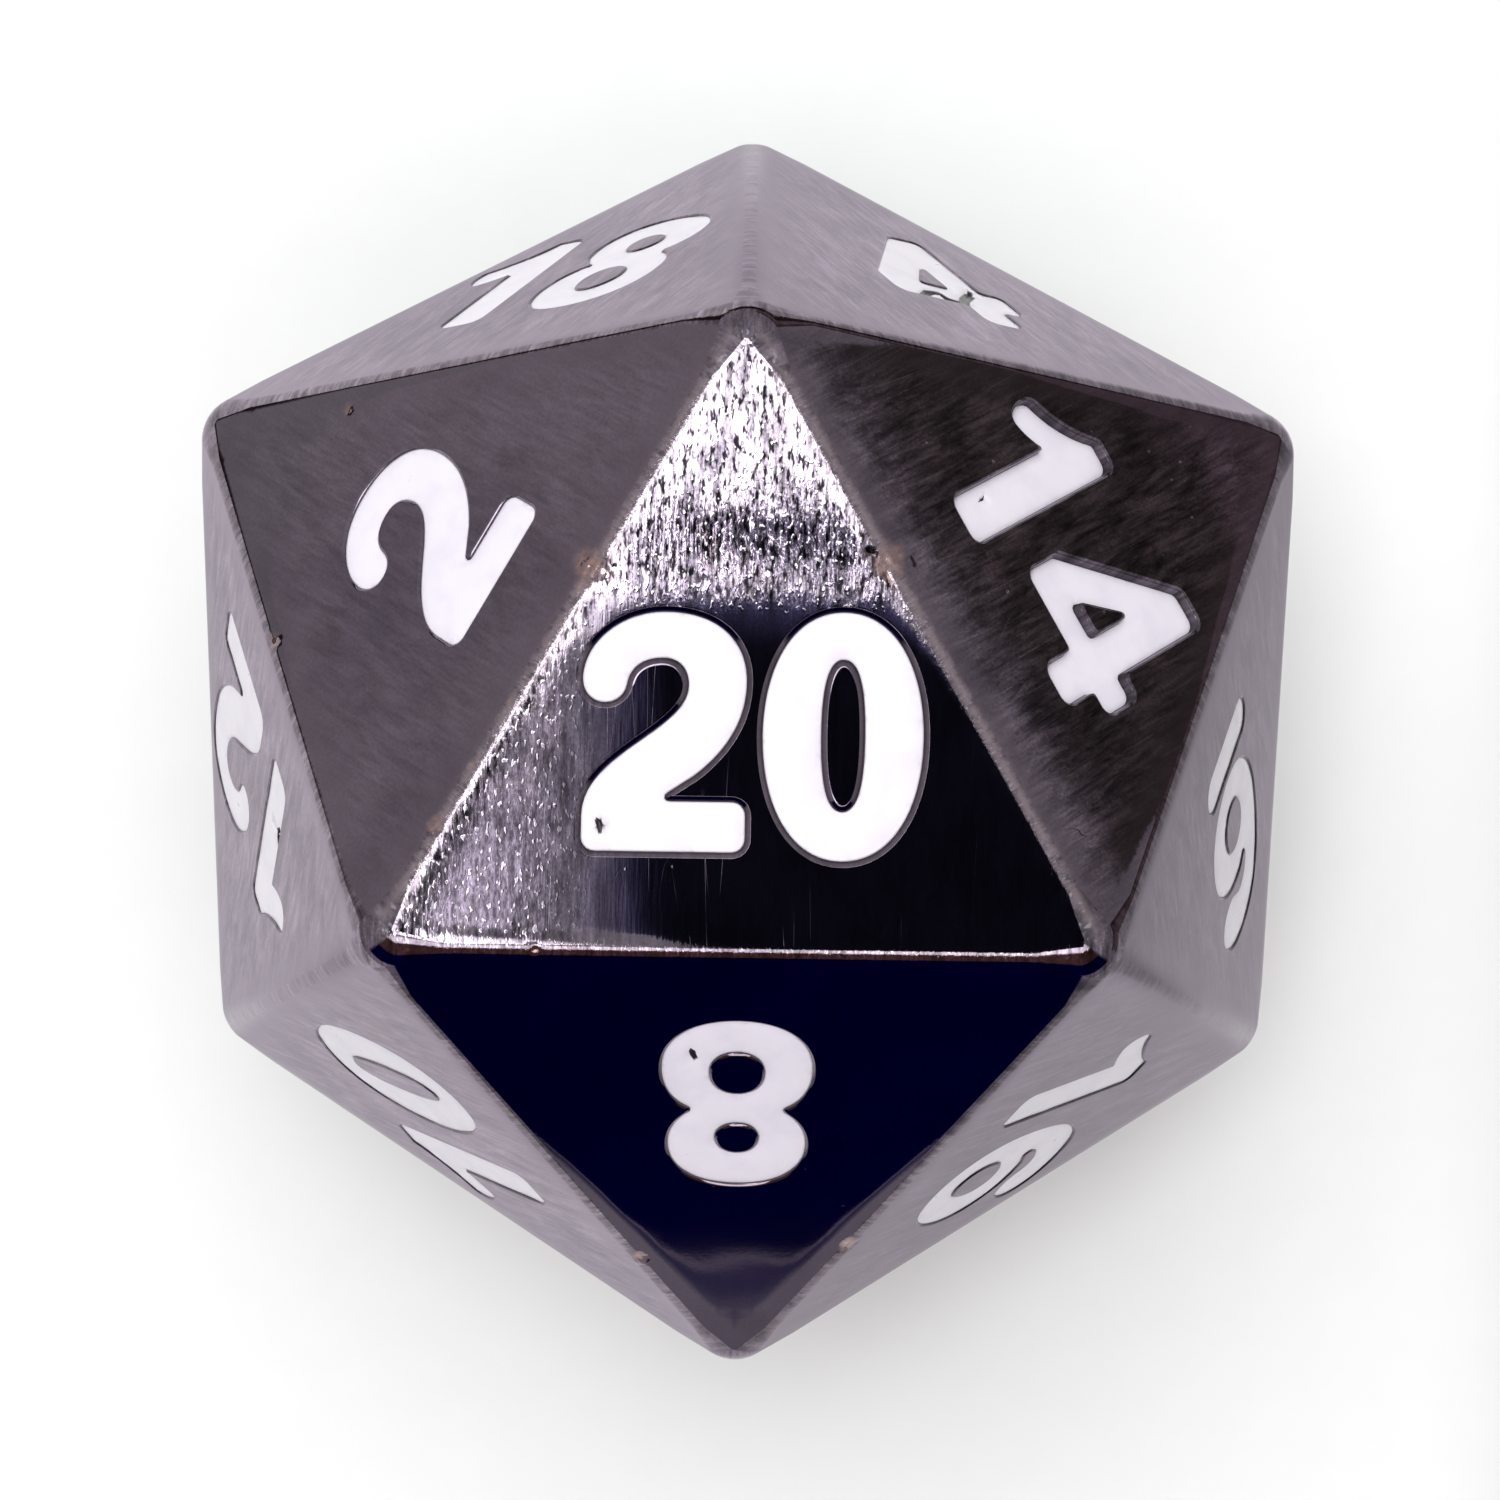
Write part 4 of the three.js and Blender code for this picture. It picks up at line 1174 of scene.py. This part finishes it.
def make_backdrop():
    points = []
    for k in range(DOME_ROWS):
        tilt = math.radians(8.0 * k - 6.0)      # from below the table's edge to straight up
        level_radius = DOME_RADIUS * math.cos(tilt)
        height = DOME_RADIUS * math.sin(tilt) - DOME_DROP
        for j in range(DOME_COLUMNS + 1):
            points.append(ring_point(level_radius, 360 * j / DOME_COLUMNS, height))
    return make_object("backdrop", points, np.array(grid_triangles(DOME_ROWS, DOME_COLUMNS + 1)))


backdrop = make_backdrop()
backdrop.data.materials.append(glow_material("pale_backdrop", (0.92, 0.92, 0.93), 0.9))
only_seen_by(backdrop, camera=True)

world = bpy.data.worlds.new("room")
world.use_nodes = True
bpy.context.scene.world = world
n = Nodes(world.node_tree)
toward = n.add("ShaderNodeTexCoord").outputs["Generated"]
height = n.add("ShaderNodeSeparateXYZ", {0: toward}).outputs["Z"]
level = n.add("ShaderNodeVectorMath", {0: toward, 1: (1.0, 1.0, 0.0)}, operation="MULTIPLY")
level = n.add("ShaderNodeVectorMath", {0: level.outputs["Vector"]}, operation="NORMALIZE")


def facing(direction, azimuth, up=0.0):
    """Cosine of the angle between a direction and a fixed one."""
    a, e = math.radians(azimuth), math.radians(up)
    axis = (math.cos(e) * math.cos(a), math.cos(e) * math.sin(a), math.sin(e))
    node = n.add("ShaderNodeVectorMath", {0: direction, 1: axis}, operation="DOT_PRODUCT")
    return node.outputs["Value"]


def beside(azimuth):
    """Cosine of the angle round the horizon from a compass direction."""
    return facing(level.outputs["Vector"], azimuth)


def elevation(degrees):
    """Height of a direction that rises by this many degrees."""
    return math.sin(math.radians(degrees))


def band(low, high, start=0.0, end=1.0):
    """Goes from one value to the other between two elevations, in degrees."""
    return n.smooth(height, elevation(low), elevation(high), start, end)


def patch(azimuth, up, radius):
    """1 within a round patch of the room."""
    return n.smooth(facing(toward, azimuth, up), elevation(89.3 - radius), elevation(90.7 - radius))


# The room above the table: grey walls that get paler upwards, a brown
# cupboard to the right and, in front, a person's dark clothes, the skin above
# them and a bright panel above that.
WALLS_LOW = (0.52, 0.48, 0.515, 1)
WALLS_HIGH = (0.64, 0.62, 0.65, 1)
CUPBOARD = (0.125, 0.105, 0.10, 1)
CLOTHES = (0.0, 0.0, 0.066, 1)
SKIN = (0.16, 0.08, 0.075, 1)
PANEL = (3.4, 3.2, 3.3, 1)

room = n.mix(n.smooth(height, 0.1, 0.9), WALLS_LOW, WALLS_HIGH)
cupboard = n.smooth(beside(30), 0.62, 0.70)
low_cupboard = n.times(cupboard, band(3.08, 3.18, 1.0, 0.0))
room = n.mix(low_cupboard, room, CUPBOARD)
person = n.smooth(beside(270), 0.5, 0.62)
figure = n.mix(band(27, 31), CLOTHES, SKIN)
figure = n.mix(band(55, 59), figure, PANEL)
low_person = n.times(person, band(70, 74, 1.0, 0.0))
room = n.mix(low_person, room, figure)

# Lamps overhead: compass direction, elevation and radius in degrees, and glow.
LAMPS = [(108, 80, 9, 5.2), (150, 76, 6.5, 6.0), (183, 76.5, 5, 7.0), (214, 77, 5, 6.0)]
for azimuth, up, radius, glow in LAMPS:
    room = n.mix(patch(azimuth, up, radius), room, (glow, 0.98 * glow, 1.02 * glow, 1))

# The table beyond the paper, darker by the cupboard and behind. In front of
# the person it has a dark fold of cloth with a pale line on it.
TABLE = (0.47, 0.445, 0.465, 1)
TABLE_BY_CUPBOARD = (0.25, 0.185, 0.20, 1)
TABLE_IN_FRONT = (0.44, 0.41, 0.46, 1)
TABLE_BEHIND = (0.05, 0.035, 0.035, 1)
FOLD = (0.09, 0.08, 0.19, 1)
FOLD_LINE = (0.34, 0.31, 0.40, 1)

near_table = n.mix(cupboard, TABLE, TABLE_BY_CUPBOARD)
fold = n.mix(band(-2.5, -1.3), TABLE_IN_FRONT, FOLD)
fold = n.mix(band(-1.16, -1.08), fold, FOLD_LINE)
fold = n.mix(band(-0.98, -0.92), fold, CLOTHES)
near_table = n.mix(person, near_table, fold)
dark_side = n.times(n.smooth(beside(100), 0.2, 0.5), band(-7, -5, 1.0, 0.0))
near_table = n.mix(dark_side, near_table, TABLE_BEHIND)
below = band(-0.75, -0.65, 1.0, 0.0)
sky = n.mix(below, room, near_table)
background = n.add("ShaderNodeBackground", {"Color": sky, "Strength": 1.0})
n.add("ShaderNodeOutputWorld", {"Surface": background.outputs[0]})


LIGHT_DISTANCE = 400


def add_light(name, azimuth, up, size, energy):
    """A round soft light aimed at the die, too diffuse to show in the plating."""
    light = bpy.data.lights.new(name, "AREA")
    light.shape = "DISK"
    light.size = size * MM
    light.energy = energy
    light_object = bpy.data.objects.new(name, light)
    toward_light = Vector(ring_point(math.cos(math.radians(up)), azimuth, math.sin(math.radians(up))))
    light_object.location = toward_light * LIGHT_DISTANCE * MM
    light_object.rotation_euler = toward_light.to_track_quat("Z", "Y").to_euler()
    light_object.visible_glossy = False
    bpy.context.scene.collection.objects.link(light_object)


add_light("window", 110, 67, 350, 0.97)
add_light("fill", 270, 20, 250, 0.18)

# ---- camera ---------------------------------------------------------------

# A phone held close above the die, nearly straight down, so its angles are small.
CAMERA_PLACE = (0.34, 0.32, 92.69)
CAMERA_TURN = (-0.0071, 0.0027, 0.0149)
CAMERA_LENS = 99.16
CAMERA_SENSOR = 36.0

scene = bpy.context.scene
scene.view_settings.view_transform = "Standard"
scene.view_settings.look = "None"
scene.view_settings.exposure = 0.0

camera_data = bpy.data.cameras.new("camera")
camera_data.lens = CAMERA_LENS
camera_data.sensor_width = CAMERA_SENSOR
camera_data.clip_start = 0.005
camera_data.clip_end = 5.0
camera = bpy.data.objects.new("camera", camera_data)
camera.location = tuple(value * MM for value in CAMERA_PLACE)
camera.rotation_euler = CAMERA_TURN
scene.collection.objects.link(camera)
scene.camera = camera
